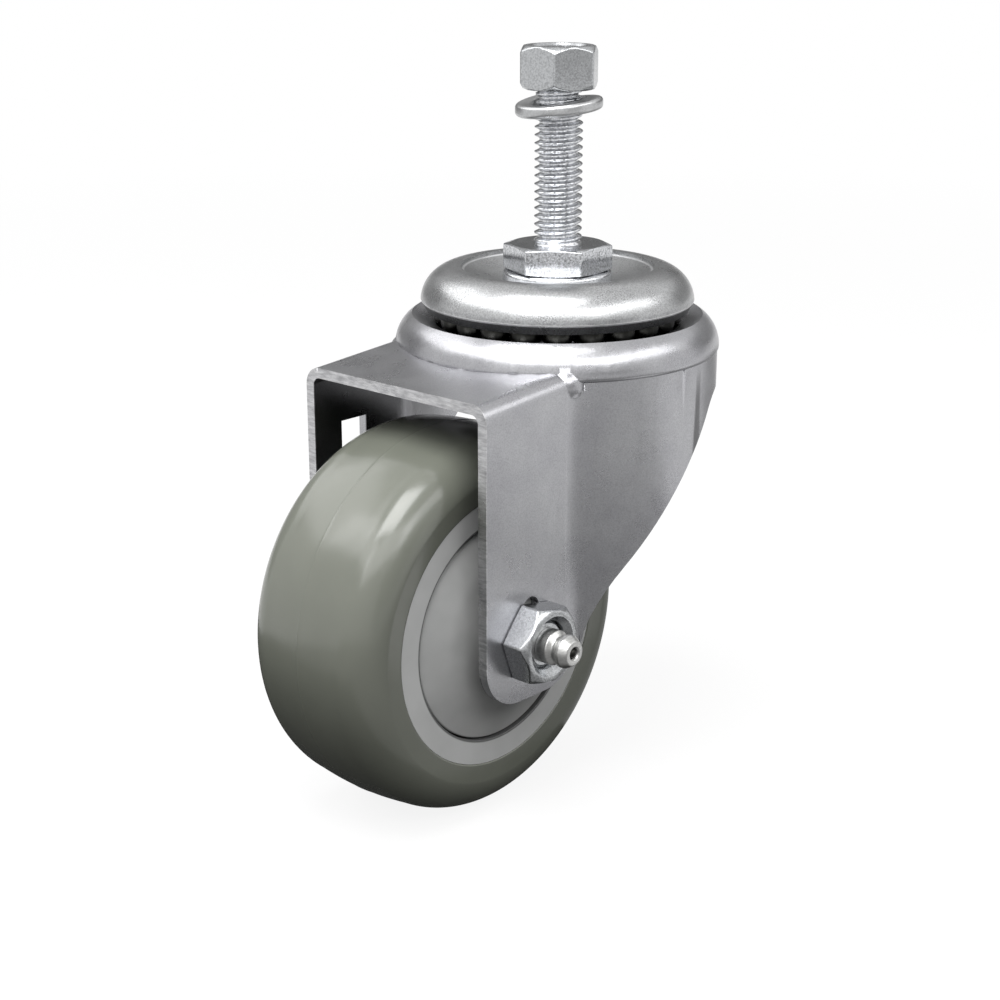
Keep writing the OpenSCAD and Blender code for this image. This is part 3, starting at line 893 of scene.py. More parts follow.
@dataclass(frozen=True)
class BearingSteel:
    """Ground and polished steel of the balls and rings, with a thin film of grease.

    Attributes:
        name: Name of the material.
        colour: Colour of the steel, linear.
        roughness: Roughness of the clean steel.
        film_share: How bright the greasy places are, of the clean ones.
        film_spread: How much rougher they are.
    """

    name: str
    colour: Colour
    roughness: float
    film_share: float = 0.7
    film_spread: float = 0.22

    def build(self) -> bpy.types.Material:
        """Makes the material.

        Returns:
            The material.
        """
        sheet = MaterialSheet(self.name)
        sheet.set("Metallic", 1.0)
        film = sheet.noise(2.5, 3.0, 0.6)
        greasy = tuple(c * self.film_share for c in self.colour)
        sheet.feed("Base Color", sheet.mixed(sheet.ranged(film, 0.0, 1.0, 0.4, 0.65), self.colour, greasy))
        sheet.feed("Roughness", sheet.ranged(film, self.roughness, self.roughness + self.film_spread))
        return sheet.material


class Finishes:
    """Every finish of the castor, made once and handed to the pieces."""

    def __init__(self) -> None:
        """Builds all the materials."""
        self.stem = StemPlate(
            "zinc_stem", (0.60, 0.61, 0.63), roughness=0.10, spread=0.10,
            grain_mm=0.40, grain_depth_mm=0.016, speckle=0.30).build()
        self.nut = ZincPlate(
            "zinc_nut", (0.455, 0.465, 0.475), roughness=0.20, spread=0.12,
            grain_mm=0.40, grain_depth_mm=0.018, speckle=0.25).build()
        self.washer = ZincPlate(
            "zinc_washer", (0.47, 0.475, 0.48), roughness=0.26, spread=0.10,
            grain_mm=0.35, grain_depth_mm=0.010, speckle=0.15).build()
        self.cup = CupPlate(
            "zinc_cup", (0.43, 0.435, 0.44), roughness=0.24, spread=0.10,
            grain_mm=0.30, grain_depth_mm=0.024, speckle=0.30).build()
        self.fork = ForkPlate(
            "zinc_fork", (0.43, 0.432, 0.445), roughness=0.24, spread=0.10,
            grain_mm=0.26, grain_depth_mm=0.014, speckle=0.16).build()
        self.fitting = ZincPlate(
            "zinc_fitting", (0.52, 0.52, 0.51), roughness=0.22, spread=0.12,
            grain_mm=0.30, grain_depth_mm=0.008, speckle=0.2, grain=Grain.TURNED).build()
        self.tread = Polyurethane().build()
        self.core = CorePlastic(
            "core_plastic", (0.48, 0.485, 0.48), (0.55, 0.555, 0.55), roughness=0.42).build()
        self.guard = MouldedPlastic(
            "guard_plastic", (0.38, 0.385, 0.38), (0.47, 0.475, 0.47), roughness=0.44,
            texture_mm=0.35).build()
        # The ball steel is near black: painted shade of the dark gaps that the balls sit in.
        self.ball = BearingSteel("ball_steel", (0.035, 0.035, 0.032), roughness=0.20).build()
        self.ring = BearingSteel("ring_steel", (0.45, 0.46, 0.47), roughness=0.22).build()
        self.shield = BearingSteel("shield_steel", (0.22, 0.225, 0.23), roughness=0.34).build()


def dress(made: bpy.types.Object, finish: bpy.types.Material) -> None:
    """Gives an object one finish in all its material slots.

    Args:
        made: The object.
        finish: Its material.
    """
    if not made.material_slots:
        made.data.materials.append(finish)
    for held in made.material_slots:
        held.material = finish


def dress_node(node: str, finish: bpy.types.Material) -> None:
    """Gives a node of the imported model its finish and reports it."""
    dress(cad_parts[node], finish)
    LOG.info("finished %s", node)


def fit_piece(made: bpy.types.Object, body: str, nodes: list[str],
              finish: bpy.types.Material) -> None:
    """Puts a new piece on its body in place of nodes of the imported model.

    Args:
        made: The new piece.
        body: The body that it moves with.
        nodes: The nodes that it stands for.
        finish: Its material.
    """
    dress(made, finish)
    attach(made, body)
    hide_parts(*nodes)
    LOG.info("built %s on %s", made.name, body)


# Fasteners


@dataclass
class ScrewThread:
    """A right-hand screw thread about Z, as a surface of one skin.

    Attributes:
        major_r: Radius at the crests.
        pitch: Rise in one turn.
        low: Height of the lower end.
        high: Height of the upper end.
        lead_len: Length at the upper end that is cut a little smaller.
        lead_r: Radius of that length.
        chamfer: Chamfer at the upper end.
        crest_half: Half the width of the flat crest, of the pitch.
        root_half: Half the width of the flat root, of the pitch.
        groove_share: Depth of the groove, of the pitch.
        rounding: How rounded the flanks are.
        around: Points round the thread.
        per_turn: Rows of points in one turn.
    """

    major_r: float
    pitch: float
    low: float
    high: float
    lead_len: float = 0.0
    lead_r: float = 0.0
    chamfer: float = 0.9
    crest_half: float = 1 / 14
    root_half: float = 1 / 9
    groove_share: float = 0.6
    rounding: float = 0.35
    around: int = 80
    per_turn: int = 14

    def depth(self, phase: float) -> float:
        """Gives how deep the groove is at a phase of the turn, as a share of its full depth.

        Args:
            phase: The place across the thread, in pitches from a crest.

        Returns:
            The share, from 0 to 1.
        """
        away = abs((phase + 0.5) % 1.0 - 0.5)
        share = (away - self.crest_half) / (0.5 - self.crest_half - self.root_half)
        share = min(1.0, max(0.0, share))
        eased = share * share * (3 - 2 * share)
        return eased * self.rounding + share * (1 - self.rounding)

    def radius(self, turn: float, z: float) -> float:
        """Gives the surface's radius at an angle in turns and a height.

        Args:
            turn: The angle, in turns.
            z: The height.

        Returns:
            The radius.
        """
        groove = self.groove_share * self.pitch * self.depth(z / self.pitch - turn)
        turned_down = self.lead_len > 0 and z > self.high - self.lead_len
        crest = self.lead_r if turned_down else self.major_r
        fade = min(1.0, max(0.0, (z - self.low) / self.pitch))
        cut = crest + min(0.0, self.major_r - groove - crest) * fade
        limit = self.major_r - max(0.0, z - (self.high - self.chamfer))
        return min(cut, limit)

    def mesh(self, name: str) -> bpy.types.Mesh:
        """Builds the thread as a closed mesh.

        Args:
            name: Name of the mesh.

        Returns:
            The mesh.
        """
        rows = round((self.high - self.low) / self.pitch * self.per_turn)
        rings = []
        for i in range(rows + 1):
            z = self.low + (self.high - self.low) * i / rows
            turns = [j / self.around for j in range(self.around)]
            rings.append([self.at(turn, z) for turn in turns])
        return mesh_of_rings(name, rings, closed=False, capped=True)

    def at(self, turn: float, z: float) -> Vector:
        """Gives the point of the surface at an angle in turns and a height."""
        r = self.radius(turn, z)
        return Vector((r * math.cos(2 * math.pi * turn), r * math.sin(2 * math.pi * turn), z))


@dataclass
class Hexagon:
    """A hexagonal nut or bolt head about Z, with turned corners and softened edges.

    Attributes:
        across_flats: Size across the flats.
        low: Height of the lower face.
        high: Height of the upper face.
        bore_r: Radius of the hole, or 0 for none.
        turn_deg: Turn of one corner from +X.
        top_cut: How far the corners are turned down at the top.
        bottom_cut: The same at the bottom.
        sink: Depth of the countersink at the top of the hole.
        sink_r: Radius of that countersink at the face.
        edge: Radius of the softened edges.
        flat_margin: How far inside the flats the turned corners start.
    """

    across_flats: float
    low: float
    high: float
    bore_r: float = 0.0
    turn_deg: float = 0.0
    top_cut: float = 1.2
    bottom_cut: float = 1.2
    sink: float = 0.7
    sink_r: float = 5.5
    edge: float = 0.18
    flat_margin: float = 0.25

    def angles(self) -> list[float]:
        """Gives the angles of the mesh's columns, closer together at the corners."""
        offsets = (-30, -24, -18, -12, -7, -4, -2.2, -1.2, -0.4, 0.4, 1.2, 2.2, 4, 7, 12, 18, 24)
        return [math.radians(60 * k + o) for k in range(6) for o in offsets]

    def reach(self, angle: float) -> float:
        """Gives the distance from the axis to the side at an angle from a corner.

        Args:
            angle: The angle, in radians.

        Returns:
            The distance.
        """
        off = (math.degrees(angle) + 30) % 60 - 30
        apothem = self.across_flats / 2
        sharp = apothem / math.cos(math.radians(30 - abs(off)))
        limit = apothem / math.cos(math.radians(30)) - self.edge * 0.5
        return min(sharp, limit)

    def column(self, angle: float) -> Profile:
        """Gives the section of one column from the bottom of the hole up the outside to its top.

        Args:
            angle: The column's angle from a corner, in radians.

        Returns:
            The section as (r, z) points.
        """
        reach = self.reach(angle)
        apothem = self.across_flats / 2
        flat_r = apothem - self.flat_margin
        corner_width = apothem / math.cos(math.radians(30)) - flat_r
        slope = self.top_cut / corner_width
        fall = self.bottom_cut / corner_width
        e = self.edge
        top = self.high - (reach - flat_r) * slope
        bottom = self.low + (reach - flat_r) * fall
        inner = self.sink_r if self.bore_r else 0.0
        section: Profile = []
        if self.bore_r:
            section += [(self.bore_r, self.high - self.sink), (self.bore_r, self.low + self.sink)]
        low_inner = self.bore_r + self.sink if self.bore_r else 0.0
        section += [
            (low_inner, self.low), (flat_r - e, self.low), (flat_r, self.low + e * fall * 0.5),
            (reach - e, bottom - e * fall), (reach, bottom + e),
            (reach, top - e), (reach - e, top + e * slope), (flat_r, self.high - e * slope * 0.5),
            (flat_r - e, self.high), (inner, self.high),
        ]
        return section

    def mesh(self, name: str) -> bpy.types.Mesh:
        """Builds the hexagon as a closed mesh.

        Args:
            name: Name of the mesh.

        Returns:
            The mesh.
        """
        turn = math.radians(self.turn_deg)
        columns = [(angle, self.column(angle)) for angle in self.angles()]
        rings = []
        for i in range(len(columns[0][1])):
            rings.append([
                Vector((c[i][0] * math.cos(a + turn), c[i][0] * math.sin(a + turn), c[i][1]))
                for a, c in columns
            ])
        return mesh_of_rings(name, rings, closed=self.bore_r > 0)


@dataclass
class SplitWasher:
    """The coiled spring washer, hanging a little askew on the thread under the stem nut.

    Attributes:
        inner_r: Radius of its hole.
        outer_r: Radius of its rim.
        thick: Thickness of the bar.
        rounding: Radius of the bar's corners.
        mid_z: Height of the washer's middle.
        tilt: Height of the high side over the middle.
        tilt_deg: Direction of the high side.
        fall: Fall of the coil from its first end to its last.
        start_deg: Angle of the first end.
        turn_deg: Angle from the first end to the last.
        steps: Pieces along the coil.
    """

    inner_r: float = 5.07
    outer_r: float = 8.60
    thick: float = 2.38
    rounding: float = 0.8
    mid_z: float = 26.82
    tilt: float = 1.16
    tilt_deg: float = 324.0
    fall: float = 1.49
    start_deg: float = 52.0
    turn_deg: float = 340.0
    steps: int = 140

    def section(self) -> Profile:
        """Gives the rounded outline of the bar about its middle.

        Returns:
            The outline as (width, height) points.
        """
        w = (self.outer_r - self.inner_r) / 2 - self.rounding
        h = self.thick / 2 - self.rounding
        outline: Profile = []
        for centre, start in (((w, h), 0), ((-w, h), 90), ((-w, -h), 180), ((w, -h), 270)):
            outline += arc(centre, self.rounding, start, start + 90, 6)
        return outline

    def mesh(self, name: str) -> bpy.types.Mesh:
        """Builds the washer as a closed mesh.

        Args:
            name: Name of the mesh.

        Returns:
            The mesh.
        """
        middle = (self.inner_r + self.outer_r) / 2
        rings = []
        for i in range(self.steps + 1):
            share = i / self.steps
            a = math.radians(self.start_deg + self.turn_deg * share)
            askew = self.tilt * math.cos(a - math.radians(self.tilt_deg))
            z = self.mid_z + askew - self.fall * (share - 0.5)
            rings.append([
                Vector(((middle + w) * math.cos(a), (middle + w) * math.sin(a), z + h))
                for w, h in self.section()
            ])
        return mesh_of_rings(name, rings, closed=False, capped=True)


@dataclass
class StemSet:
    """The threaded stem with its wrench hexagon, nut and split washer.

    Attributes:
        thread: The stem's thread.
        wrench: The hexagon that the stem is screwed in by.
        nut: The nut near the stem's tip.
        lock_nut: The nut at the stem's lower end, under the fork's roof.
        washer: The split washer under the nut.
        shank: Section of the plain shank through the swivel.
    """

    thread: ScrewThread = field(default_factory=lambda: ScrewThread(
        4.76, PITCH, -0.2, 38.1, lead_len=13.5, lead_r=4.59))
    wrench: Hexagon = field(default_factory=lambda: Hexagon(
        19.05, -5.3, 0.0, turn_deg=5.5, top_cut=0.35, bottom_cut=0.35, edge=0.16))
    nut: Hexagon = field(default_factory=lambda: Hexagon(
        NUT_FLATS, 30.1, 38.43, bore_r=NUT_BORE_R, turn_deg=33.6, edge=0.22))
    lock_nut: Hexagon = field(default_factory=lambda: Hexagon(
        NUT_FLATS, -34.11, -28.01, bore_r=NUT_BORE_R, edge=0.22))
    washer: SplitWasher = field(default_factory=SplitWasher)
    shank: tuple[Corner, ...] = (
        Corner(0.0, -5.2), Corner(4.75, -5.2), Corner(4.75, -35.3, 0.7), Corner(0.0, -35.3))

    def build(self, finishes: Finishes) -> None:
        """Builds and dresses the set.

        Args:
            finishes: Every finish of the castor.
        """
        stem = new_object("stem_with_thread", join_meshes("stem_with_thread", [
            self.thread.mesh("thread"), self.wrench.mesh("wrench_hexagon"),
            revolve("shank", rounded_profile(list(self.shank)), 64, closed=False),
        ]))
        smooth(stem, 50)
        fit_piece(stem, "stem", ["threaded_stem"], finishes.stem)
        nut = new_object("hex_nut_on_stem", self.nut.mesh("hex_nut_on_stem"))
        smooth(nut)
        fit_piece(nut, "nut", ["stem_nut"], finishes.nut)
        lock = new_object("hex_nut_under_kingpin", self.lock_nut.mesh("hex_nut_under_kingpin"))
        smooth(lock)
        fit_piece(lock, "stem", ["stem_lock_nut"], finishes.nut)
        washer = new_object("split_washer", self.washer.mesh("split_washer"))
        smooth(washer)
        fit_piece(washer, "washer", ["lock_washer"], finishes.washer)
        dress_node("kingpin", finishes.stem)


# Swivel head and fork


class SwivelHead:
    """The top cup, the two rows of balls and the lower cup."""

    def build(self, finishes: Finishes) -> None:
        """Dresses the head.

        Args:
            finishes: Every finish of the castor.
        """
        dress_node("top_cup", finishes.cup)
        dress_node("lower_cup", finishes.cup)
        dress_node("upper_balls", finishes.ball)
        dress_node("lower_balls", finishes.ball)


@dataclass
class PressedFork:
    """The pressed sheet fork, with the sheet's sheared edges broken.

    Attributes:
        edge: Radius of the broken edges.
        edge_deg: Angle from which an edge is broken.
        edge_steps: Pieces across a broken edge.
        weld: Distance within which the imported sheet's vertices are joined.
    """

    edge: float = 0.3
    edge_deg: float = 38.0
    edge_steps: int = 3
    weld: float = 0.002

    def build(self, finishes: Finishes) -> None:
        """Builds the fork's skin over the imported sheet.

        Args:
            finishes: Every finish of the castor.
        """
        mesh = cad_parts["fork"].data.copy()
        mesh.materials.clear()
        tidy = bmesh.new()
        tidy.from_mesh(mesh)
        bmesh.ops.remove_doubles(tidy, verts=tidy.verts, dist=self.weld * MM)
        tidy.to_mesh(mesh)
        tidy.free()
        fork = new_object("fork_sheet", mesh)
        bevel = fork.modifiers.new("broken_edges", "BEVEL")
        bevel.width = self.edge * MM
        bevel.segments = self.edge_steps
        bevel.limit_method = "ANGLE"
        bevel.angle_limit = math.radians(self.edge_deg)
        bevel.harden_normals = False
        smooth(fork, 35)
        fit_piece(fork, "fork", ["fork"], finishes.fork)


# Wheel and axle


@dataclass
class AxleFrame:
    """Carries what is made about Z to the wheel's axle.

    Attributes:
        centre: The wheel's centre.
    """

    centre: tuple[float, float, float] = AXLE

    def place(self, mesh: bpy.types.Mesh, side: Side = Side.RIGHT) -> bpy.types.Mesh:
        """Turns a mesh so that its +Z points out of one side of the wheel.

        Args:
            mesh: The mesh, made about Z in metres.
            side: The side that +Z points to.

        Returns:
            The same mesh, at the axle.
        """
        turn = Matrix.Rotation(math.radians(-90 * side.value), 4, "X")
        mesh.transform(Matrix.Translation(Vector(self.centre) * MM) @ turn)
        return mesh


@dataclass
class AxleSet:
    """The axle bolt, its nut and the grease fitting in its end.

    Attributes:
        at: Where the axle lies.
        nut: The bolt's nut on the left leg.
        head: The bolt's head on the right leg.
        shank_r: Radius of the bolt.
        shank_low: Start of the bolt's plain length, inside its head.
        shank_high: End of that length.
        thread_low: Start of its thread, a little inside the plain length.
        end: End of the bolt.
        fitting: Section of the grease fitting.
    """

    at: AxleFrame
    nut: Hexagon = field(default_factory=lambda: Hexagon(
        NUT_FLATS, 23.6, 29.15, bore_r=NUT_BORE_R, turn_deg=50.5, top_cut=1.3, bottom_cut=0.1,
        sink=1.3, sink_r=5.9, edge=0.22))
    head: Hexagon = field(default_factory=lambda: Hexagon(
        NUT_FLATS, 23.6, 29.55, top_cut=1.3, bottom_cut=0.05, edge=0.22))
    shank_r: float = 4.755
    shank_low: float = -24.0
    shank_high: float = 14.2
    thread_low: float = 14.0
    end: float = 27.55
    fitting: tuple[Corner, ...] = (
        Corner(0.0, 23.2), Corner(3.15, 23.2, 0.2), Corner(3.15, 27.55, 0.05),
        Corner(3.4, 27.58, 0.05), Corner(3.4, 30.1, 0.35), Corner(2.45, 30.75, 0.3),
        Corner(2.45, 31.35, 0.3), Corner(3.22, 32.15, 0.35), Corner(3.22, 33.0, 0.5),
        Corner(2.35, 34.45, 0.3), Corner(1.35, 34.5, 0.25), Corner(1.05, 33.9, 0.1),
        Corner(1.05, 32.9, 0.05), Corner(0.0, 32.9))

    def build(self, finishes: Finishes) -> None:
        """Builds and dresses the axle.

        Args:
            finishes: Every finish of the castor.
        """
        nut = new_object("axle_hex_nut", self.at.place(self.nut.mesh("axle_hex_nut"), Side.LEFT))
        smooth(nut)
        fit_piece(nut, "fork", ["axle_nut"], finishes.nut)
        thread = ScrewThread(self.shank_r, PITCH, self.thread_low, self.end, chamfer=0.7)
        shank = revolve("axle_shank", [
            (0.0, self.shank_low), (self.shank_r, self.shank_low),
            (self.shank_r, self.shank_high), (0.0, self.shank_high)], 64, closed=False)
        bolt = new_object("axle_bolt_with_head", join_meshes("axle_bolt_with_head", [
            self.at.place(thread.mesh("axle_thread"), Side.LEFT), self.at.place(shank, Side.LEFT),
            self.at.place(self.head.mesh("axle_head"), Side.RIGHT)]))
        smooth(bolt, 50)
        fit_piece(bolt, "fork", ["axle_bolt"], finishes.nut)
        mesh = revolve("grease_nipple", rounded_profile(list(self.fitting), 6), 72, closed=False)
        nipple = new_object("grease_nipple", self.at.place(mesh, Side.LEFT))
        smooth(nipple)
        fit_piece(nipple, "fork", ["grease_fitting"], finishes.fitting)
        dress_node("fitting_ball", finishes.ball)
        dress_node("axle_sleeve", finishes.ring)
        dress_node("bearing_spacer", finishes.shield)


@dataclass
class Wheel:
    """The tread, its core, the thread guards and the bearings.

    Attributes:
        at: Where the wheel sits.
        radius: Radius of the wheel at the parting line.
        half_width: Half of the tread's width.
        crown: How far the middle stands out over the shoulders.
        shoulder_r: Radius of the shoulders.
        parting: Height of the parting line's bead.
        bead_half: Half the width of that bead.
        crown_steps: Pieces across half the crown.
        seat: The tread's lip on the core's ring and its seat in the core, as (r, y) points.
    """

    at: AxleFrame
    radius: float = 38.1
    half_width: float = 16.25
    crown: float = 0.7
    shoulder_r: float = 7.5
    parting: float = 0.07
    bead_half: float = 0.2
    crown_steps: int = 15
    seat: tuple[tuple[float, float], ...] = (
        (27.25, 16.08), (26.95, 15.98), (26.9, 15.8), (26.9, 14.6), (29.4, 12.0))

    def tread_profile(self) -> Profile:
        """Gives the tread's closed section as (r, y) points.

        Returns:
            The section.
        """
        edge = self.half_width - self.shoulder_r
        sag = self.crown - self.parting
        top = self.radius - self.parting
        crown_r = (edge ** 2 + sag ** 2) / (2 * sag)
        half: Profile = [
            (self.radius, 0.0),
            (self.radius - self.parting * 0.4, self.bead_half * 0.45),
            (top, self.bead_half)]
        for k in range(1, self.crown_steps):
            y = self.bead_half + (edge - self.bead_half) * k / self.crown_steps
            half.append((top - crown_r + math.sqrt(crown_r ** 2 - y ** 2), y))
        centre = (self.radius - self.crown - self.shoulder_r, edge)
        half += arc(centre, self.shoulder_r, 3, 86, 22)
        half += self.seat
        return half + [(r, -y) for r, y in reversed(half[1:])]

    def guard_profile(self) -> Profile:
        """Gives the thread guard's closed section as (r, y) points.

        Returns:
            The section.
        """
        corners = [
            Corner(6.40, 12.4), Corner(6.40, 21.6, 0.05), Corner(7.5, 21.6, 0.25), Corner(7.5, 18.5, 0.5),
            Corner(15.0, 17.2, 20.0), Corner(21.75, 15.3, 0.45), Corner(21.75, 12.9, 0.15),
            Corner(20.55, 12.9, 0.15), Corner(20.55, 14.4, 0.3), Corner(14.7, 16.0, 18.0),
            Corner(7.5, 17.3, 0.2), Corner(7.5, 12.4, 0.05)]
        return rounded_profile(corners + [Corner(6.40, 12.4)], 6)[:-1]

    def core_ring(self) -> list[Corner]:
        """Gives the core's closed section as corners, right half first.

        Returns:
            The corners.
        """
        half = [
            Corner(29.38, 0.0), Corner(29.38, 11.97), Corner(26.88, 14.57),
            Corner(26.88, 15.93, 0.06), Corner(22.1, 15.93, 0.25), Corner(22.1, 6.0, 0.6),
            Corner(18.2, 5.5, 0.6), Corner(18.2, 12.5, 0.3), Corner(14.32, 12.5, 0.2),
            Corner(14.32, 4.46), Corner(12.4, 4.46)]
        return half + [Corner(c.r, -c.z, c.fillet) for c in reversed(half[1:])]

    def build(self, finishes: Finishes) -> None:
        """Builds and dresses the wheel.

        Args:
            finishes: Every finish of the castor.
        """
        tread = new_object("soft_tread", self.at.place(revolve("soft_tread", self.tread_profile(), 220)))
        smooth(tread, 60)
        fit_piece(tread, "wheel", ["tread"], finishes.tread)
        ring = revolve("moulded_core", rounded_profile(self.core_ring()), 160)
        core = new_object("moulded_core", self.at.place(ring))
        smooth(core)
        fit_piece(core, "wheel", ["wheel_core"], finishes.core)
        for side, word in ((Side.LEFT, "left"), (Side.RIGHT, "right")):
            mesh = revolve(f"thread_guard_disc_{word}", self.guard_profile(), 144)
            guard = new_object(f"thread_guard_disc_{word}", self.at.place(mesh, side))
            smooth(guard)
            fit_piece(guard, "fork", [f"thread_guard_{word}"], finishes.guard)
            dress_node(f"bearing_balls_{word}", finishes.ball)
            for node in ("inner_ring", "outer_ring"):
                dress_node(f"{node}_{word}", finishes.ring)
            for node in ("ball_cage", "bearing_shield"):
                dress_node(f"{node}_{word}", finishes.shield)


# Studio


@dataclass
class Softbox:
    """A rectangular lamp aimed at the castor.

    Attributes:
        name: Name of the lamp.
        place: Where it stands, in metres.
        size: Its width and height, in metres.
        power: Its power in watts.
    """

    name: str
    place: tuple[float, float, float]
    size: tuple[float, float]
    power: float

    def build(self, target: Vector) -> None:
        """Sets the lamp up.

        Args:
            target: What it faces, in metres.
        """
        lamp = bpy.data.lights.new(self.name, "AREA")
        lamp.shape = "RECTANGLE"
        lamp.size, lamp.size_y = self.size
        lamp.energy = self.power
        stand = bpy.data.objects.new(self.name, lamp)
        stand.location = self.place
        stand.rotation_euler = aimed(self.place, target, "-Z")
        stand.visible_camera = False
        bpy.context.scene.collection.objects.link(stand)
        LOG.info("lamp %s", self.name)


@dataclass
class Card:
    """A plain card that the metal mirrors, dark or light, as a studio uses to draw its edges.

    Attributes:
        name: Name of the card.
        place: Its middle, in metres.
        size: Its width and height, in metres.
        tone: How light it is, linear.
        lies: Whether it lies on the floor instead of facing the castor.
    """

    name: str
    place: tuple[float, float, float]
    size: tuple[float, float]
    tone: float
    lies: bool = False

    def build(self, target: Vector) -> None:
        """Sets the card up, out of sight of the camera.

        Args:
            target: What it faces, in metres.
        """
        mesh = rectangle(self.name, *self.size)
        card = new_object(self.name, mesh)
        card.location = self.place
        if not self.lies:
            card.rotation_euler = aimed(self.place, target, "Z")
        sheet = empty_material(self.name)
        glow = sheet.node_tree.nodes.new("ShaderNodeEmission")
        glow.inputs["Strength"].default_value = self.tone
        output = sheet.node_tree.nodes.new("ShaderNodeOutputMaterial")
        sheet.node_tree.links.new(glow.outputs[0], output.inputs["Surface"])
        mesh.materials.append(sheet)
        card.visible_camera = False
        card.visible_diffuse = False
        card.visible_shadow = False
        LOG.info("card %s", self.name)


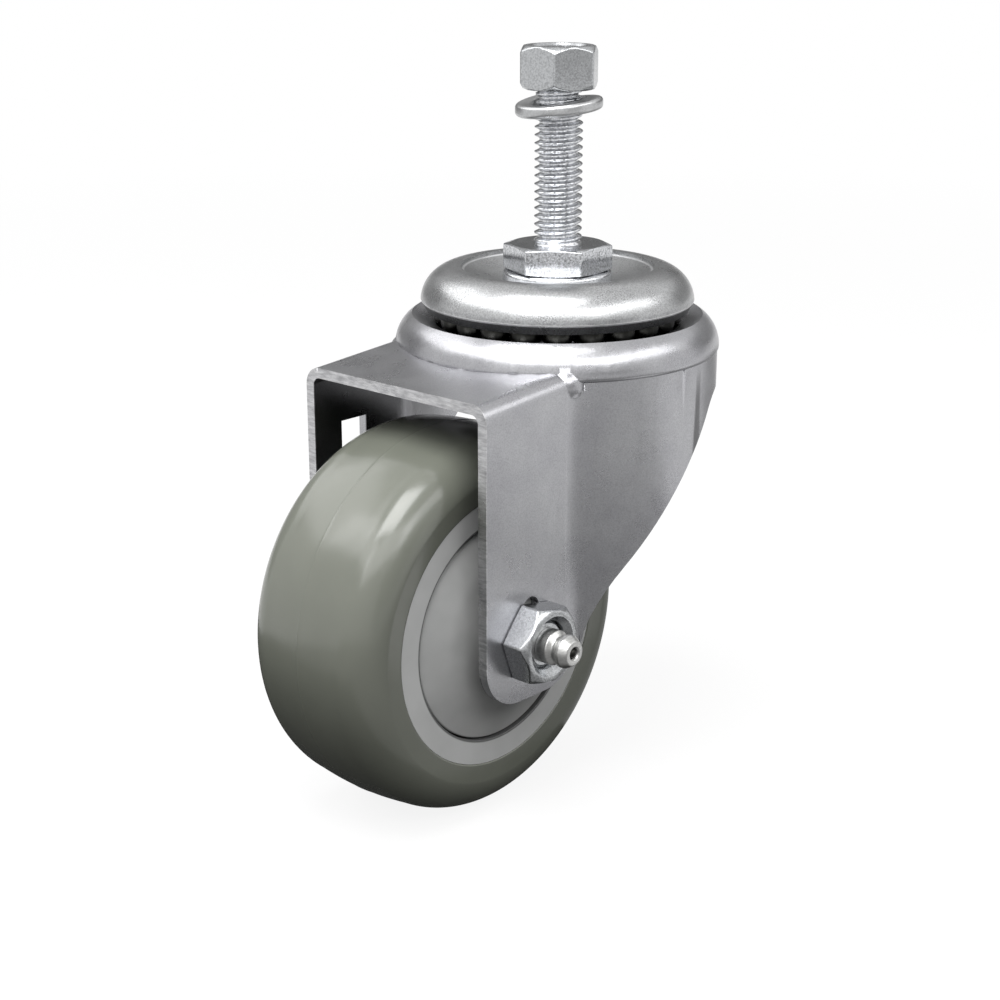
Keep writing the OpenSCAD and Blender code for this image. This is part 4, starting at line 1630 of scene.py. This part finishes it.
@dataclass
class Studio:
    """The floor, the white surroundings, the lamps and the camera.

    Attributes:
        floor_z: Height of the floor under the wheel, in metres.
        camera_place: The camera's place, in metres.
        azimuth_deg: The camera's direction round the stem, from -Y.
        elevation_deg: The camera's height above the level.
        lens_mm: Focal length of the camera.
        sensor_mm: Width of the camera's frame.
        nearest: Distance from which the camera sees, in metres.
        floor_width: Width of the floor, in metres.
        fade_from: Distance from the castor at which the floor starts to clear to white, in metres.
        fade_to: Distance at which it is white, in metres.
        glow_near: Share of plain white in the floor near the castor, where its shadow lies.
        dull_tone: How light the floor is to the castor.
        soft_strength: How bright the surroundings are to the castor.
        target: What the lamps and cards face, in metres.
        lamps: The lamps.
        cards: The cards.
    """

    floor_z: float = -0.10635
    camera_place: tuple[float, float, float] = (-0.28781, -0.24548, 0.06672)
    azimuth_deg: float = -47.797
    elevation_deg: float = 17.677
    lens_mm: float = 68.81
    sensor_mm: float = 36.0
    nearest: float = 0.01
    floor_width: float = 12.0
    fade_from: float = 0.25
    fade_to: float = 0.90
    glow_near: float = 0.88
    dull_tone: float = 0.06
    soft_strength: float = 0.26
    target: tuple[float, float, float] = (-0.01, 0.0, -0.035)
    lamps: tuple[Softbox, ...] = (
        Softbox("front_left_high", (-0.69, 0.27, 0.65), (0.85, 0.34), 2.4),
        Softbox("front_high", (-0.59, -0.52, 0.60), (1.35, 0.36), 4.0),
        Softbox("right_high", (0.19, -0.76, 0.58), (1.05, 0.34), 2.7),
        Softbox("left_high", (-0.27, 0.72, 0.63), (0.80, 0.50), 2.0),
        Softbox("top_left", (-0.36, -0.09, 0.85), (0.60, 0.50), 8.5),
    )
    cards: tuple[Card, ...] = (
        Card("floor_far_card", (-0.325, -0.30, -0.1056), (0.85, 0.16), 0.62, lies=True),
        Card("floor_near_card", (-0.325, -0.05, -0.1056), (0.85, 0.34), 0.34, lies=True),
        Card("floor_side_card", (0.22, -0.235, -0.1055), (0.24, 0.27), 1.10, lies=True),
        Card("floor_back_card", (0.30, 0.0, -0.1055), (0.40, 0.19), 0.42, lies=True),
        Card("foot_card", (-0.075, 0.05, -0.1052), (0.15, 0.17), 0.04, lies=True),
        Card("floor_reflector", (0.035, -0.095, -0.1050), (0.06, 0.05), 1.2, lies=True),
        Card("front_card", (-0.16, -0.90, 0.05), (0.70, 0.42), 0.50),
        Card("far_card", (0.05, 0.90, 0.14), (0.80, 0.50), 0.34),
        Card("back_low_card", (0.68, 0.59, 0.17), (0.95, 0.30), 0.17),
        Card("back_high_card", (0.64, 0.56, 0.47), (0.95, 0.26), 0.45),
        Card("right_card", (0.90, -0.05, 0.18), (0.75, 0.42), 0.34),
        Card("right_glow", (0.80, -0.34, 0.43), (0.45, 0.26), 1.3),
    )

    def build(self) -> None:
        """Sets up everything round the castor."""
        self.floor()
        self.surroundings()
        for lamp in self.lamps:
            lamp.build(Vector(self.target))
        for card in self.cards:
            card.build(Vector(self.target))
        self.camera()

    def white_for_sight(self, tree: bpy.types.NodeTree, plain: bpy.types.NodeSocket,
                        white: bpy.types.NodeSocket) -> bpy.types.NodeSocket:
        """Swaps in white for the camera, and for what metal mirrors.

        Args:
            tree: The node tree to add to.
            plain: The shader for all other rays.
            white: The white shader.

        Returns:
            The mixed shader.
        """
        path = tree.nodes.new("ShaderNodeLightPath")
        seen = path.outputs["Is Camera Ray"]
        for other in ("Is Glossy Ray", "Is Transmission Ray"):
            most = tree.nodes.new("ShaderNodeMath")
            most.operation = "MAXIMUM"
            tree.links.new(seen, most.inputs[0])
            tree.links.new(path.outputs[other], most.inputs[1])
            seen = most.outputs[0]
        mix = tree.nodes.new("ShaderNodeMixShader")
        tree.links.new(seen, mix.inputs["Fac"])
        tree.links.new(plain, mix.inputs[1])
        tree.links.new(white, mix.inputs[2])
        return mix.outputs[0]

    def floor(self) -> None:
        """Lays the pale floor."""
        mesh = rectangle("floor", self.floor_width, self.floor_width)
        floor = new_object("floor", mesh)
        floor.location = (0, 0, self.floor_z)
        sheet = empty_material("floor_white")
        tree = sheet.node_tree
        paper = tree.nodes.new("ShaderNodeBsdfDiffuse")
        paper.inputs["Color"].default_value = WHITE
        glow = tree.nodes.new("ShaderNodeEmission")
        seen = tree.nodes.new("ShaderNodeMixShader")
        spot = tree.nodes.new("ShaderNodeNewGeometry")
        reach = tree.nodes.new("ShaderNodeVectorMath")
        reach.operation = "LENGTH"
        tree.links.new(spot.outputs["Position"], reach.inputs[0])
        fade = tree.nodes.new("ShaderNodeMapRange")
        fade.inputs["From Min"].default_value = self.fade_from
        fade.inputs["From Max"].default_value = self.fade_to
        fade.inputs["To Min"].default_value = self.glow_near
        fade.inputs["To Max"].default_value = 1.0
        tree.links.new(reach.outputs["Value"], fade.inputs["Value"])
        tree.links.new(fade.outputs["Result"], seen.inputs["Fac"])
        tree.links.new(paper.outputs[0], seen.inputs[1])
        tree.links.new(glow.outputs[0], seen.inputs[2])
        dull = tree.nodes.new("ShaderNodeBsdfDiffuse")
        dull.inputs["Color"].default_value = (self.dull_tone, self.dull_tone, self.dull_tone, 1.0)
        output = tree.nodes.new("ShaderNodeOutputMaterial")
        tree.links.new(self.white_for_sight(tree, dull.outputs[0], seen.outputs[0]), output.inputs["Surface"])
        mesh.materials.append(sheet)

    def surroundings(self) -> None:
        """Makes the surroundings white to the eye and softly bright to the castor."""
        scene = bpy.context.scene
        world = bpy.data.worlds.new("studio")
        scene.world = world
        world.use_nodes = True
        tree = world.node_tree
        tree.nodes.clear()
        soft = tree.nodes.new("ShaderNodeBackground")
        soft.inputs["Strength"].default_value = self.soft_strength
        soft.inputs["Color"].default_value = WHITE
        white = tree.nodes.new("ShaderNodeBackground")
        white.inputs["Color"].default_value = WHITE
        output = tree.nodes.new("ShaderNodeOutputWorld")
        seen = self.white_for_sight(tree, soft.outputs[0], white.outputs[0])
        tree.links.new(seen, output.inputs["Surface"])
        scene.view_settings.view_transform = "Standard"

    def camera(self) -> None:
        """Stands the camera where the photographer's was."""
        azimuth, elevation = math.radians(self.azimuth_deg), math.radians(self.elevation_deg)
        back = Vector((math.sin(azimuth) * math.cos(elevation), -math.cos(azimuth) * math.cos(elevation),
                       math.sin(elevation)))
        right = Vector((math.cos(azimuth), math.sin(azimuth), 0.0))
        up = back.cross(right)
        lens = bpy.data.cameras.new("camera")
        lens.lens = self.lens_mm
        lens.sensor_width = self.sensor_mm
        lens.clip_start = self.nearest
        stand = bpy.data.objects.new("camera", lens)
        turn = Matrix((right, up, back)).transposed().to_4x4()
        stand.matrix_world = Matrix.Translation(self.camera_place) @ turn
        bpy.context.scene.collection.objects.link(stand)
        bpy.context.scene.camera = stand


def main() -> None:
    """Builds the castor's pieces in order, then the studio."""
    logging.basicConfig(level=logging.INFO, format="%(name)s: %(message)s")
    finishes = Finishes()
    at = AxleFrame()
    StemSet().build(finishes)
    SwivelHead().build(finishes)
    PressedFork().build(finishes)
    AxleSet(at).build(finishes)
    Wheel(at).build(finishes)
    Studio().build()


if __name__ == "__main__":
    main()
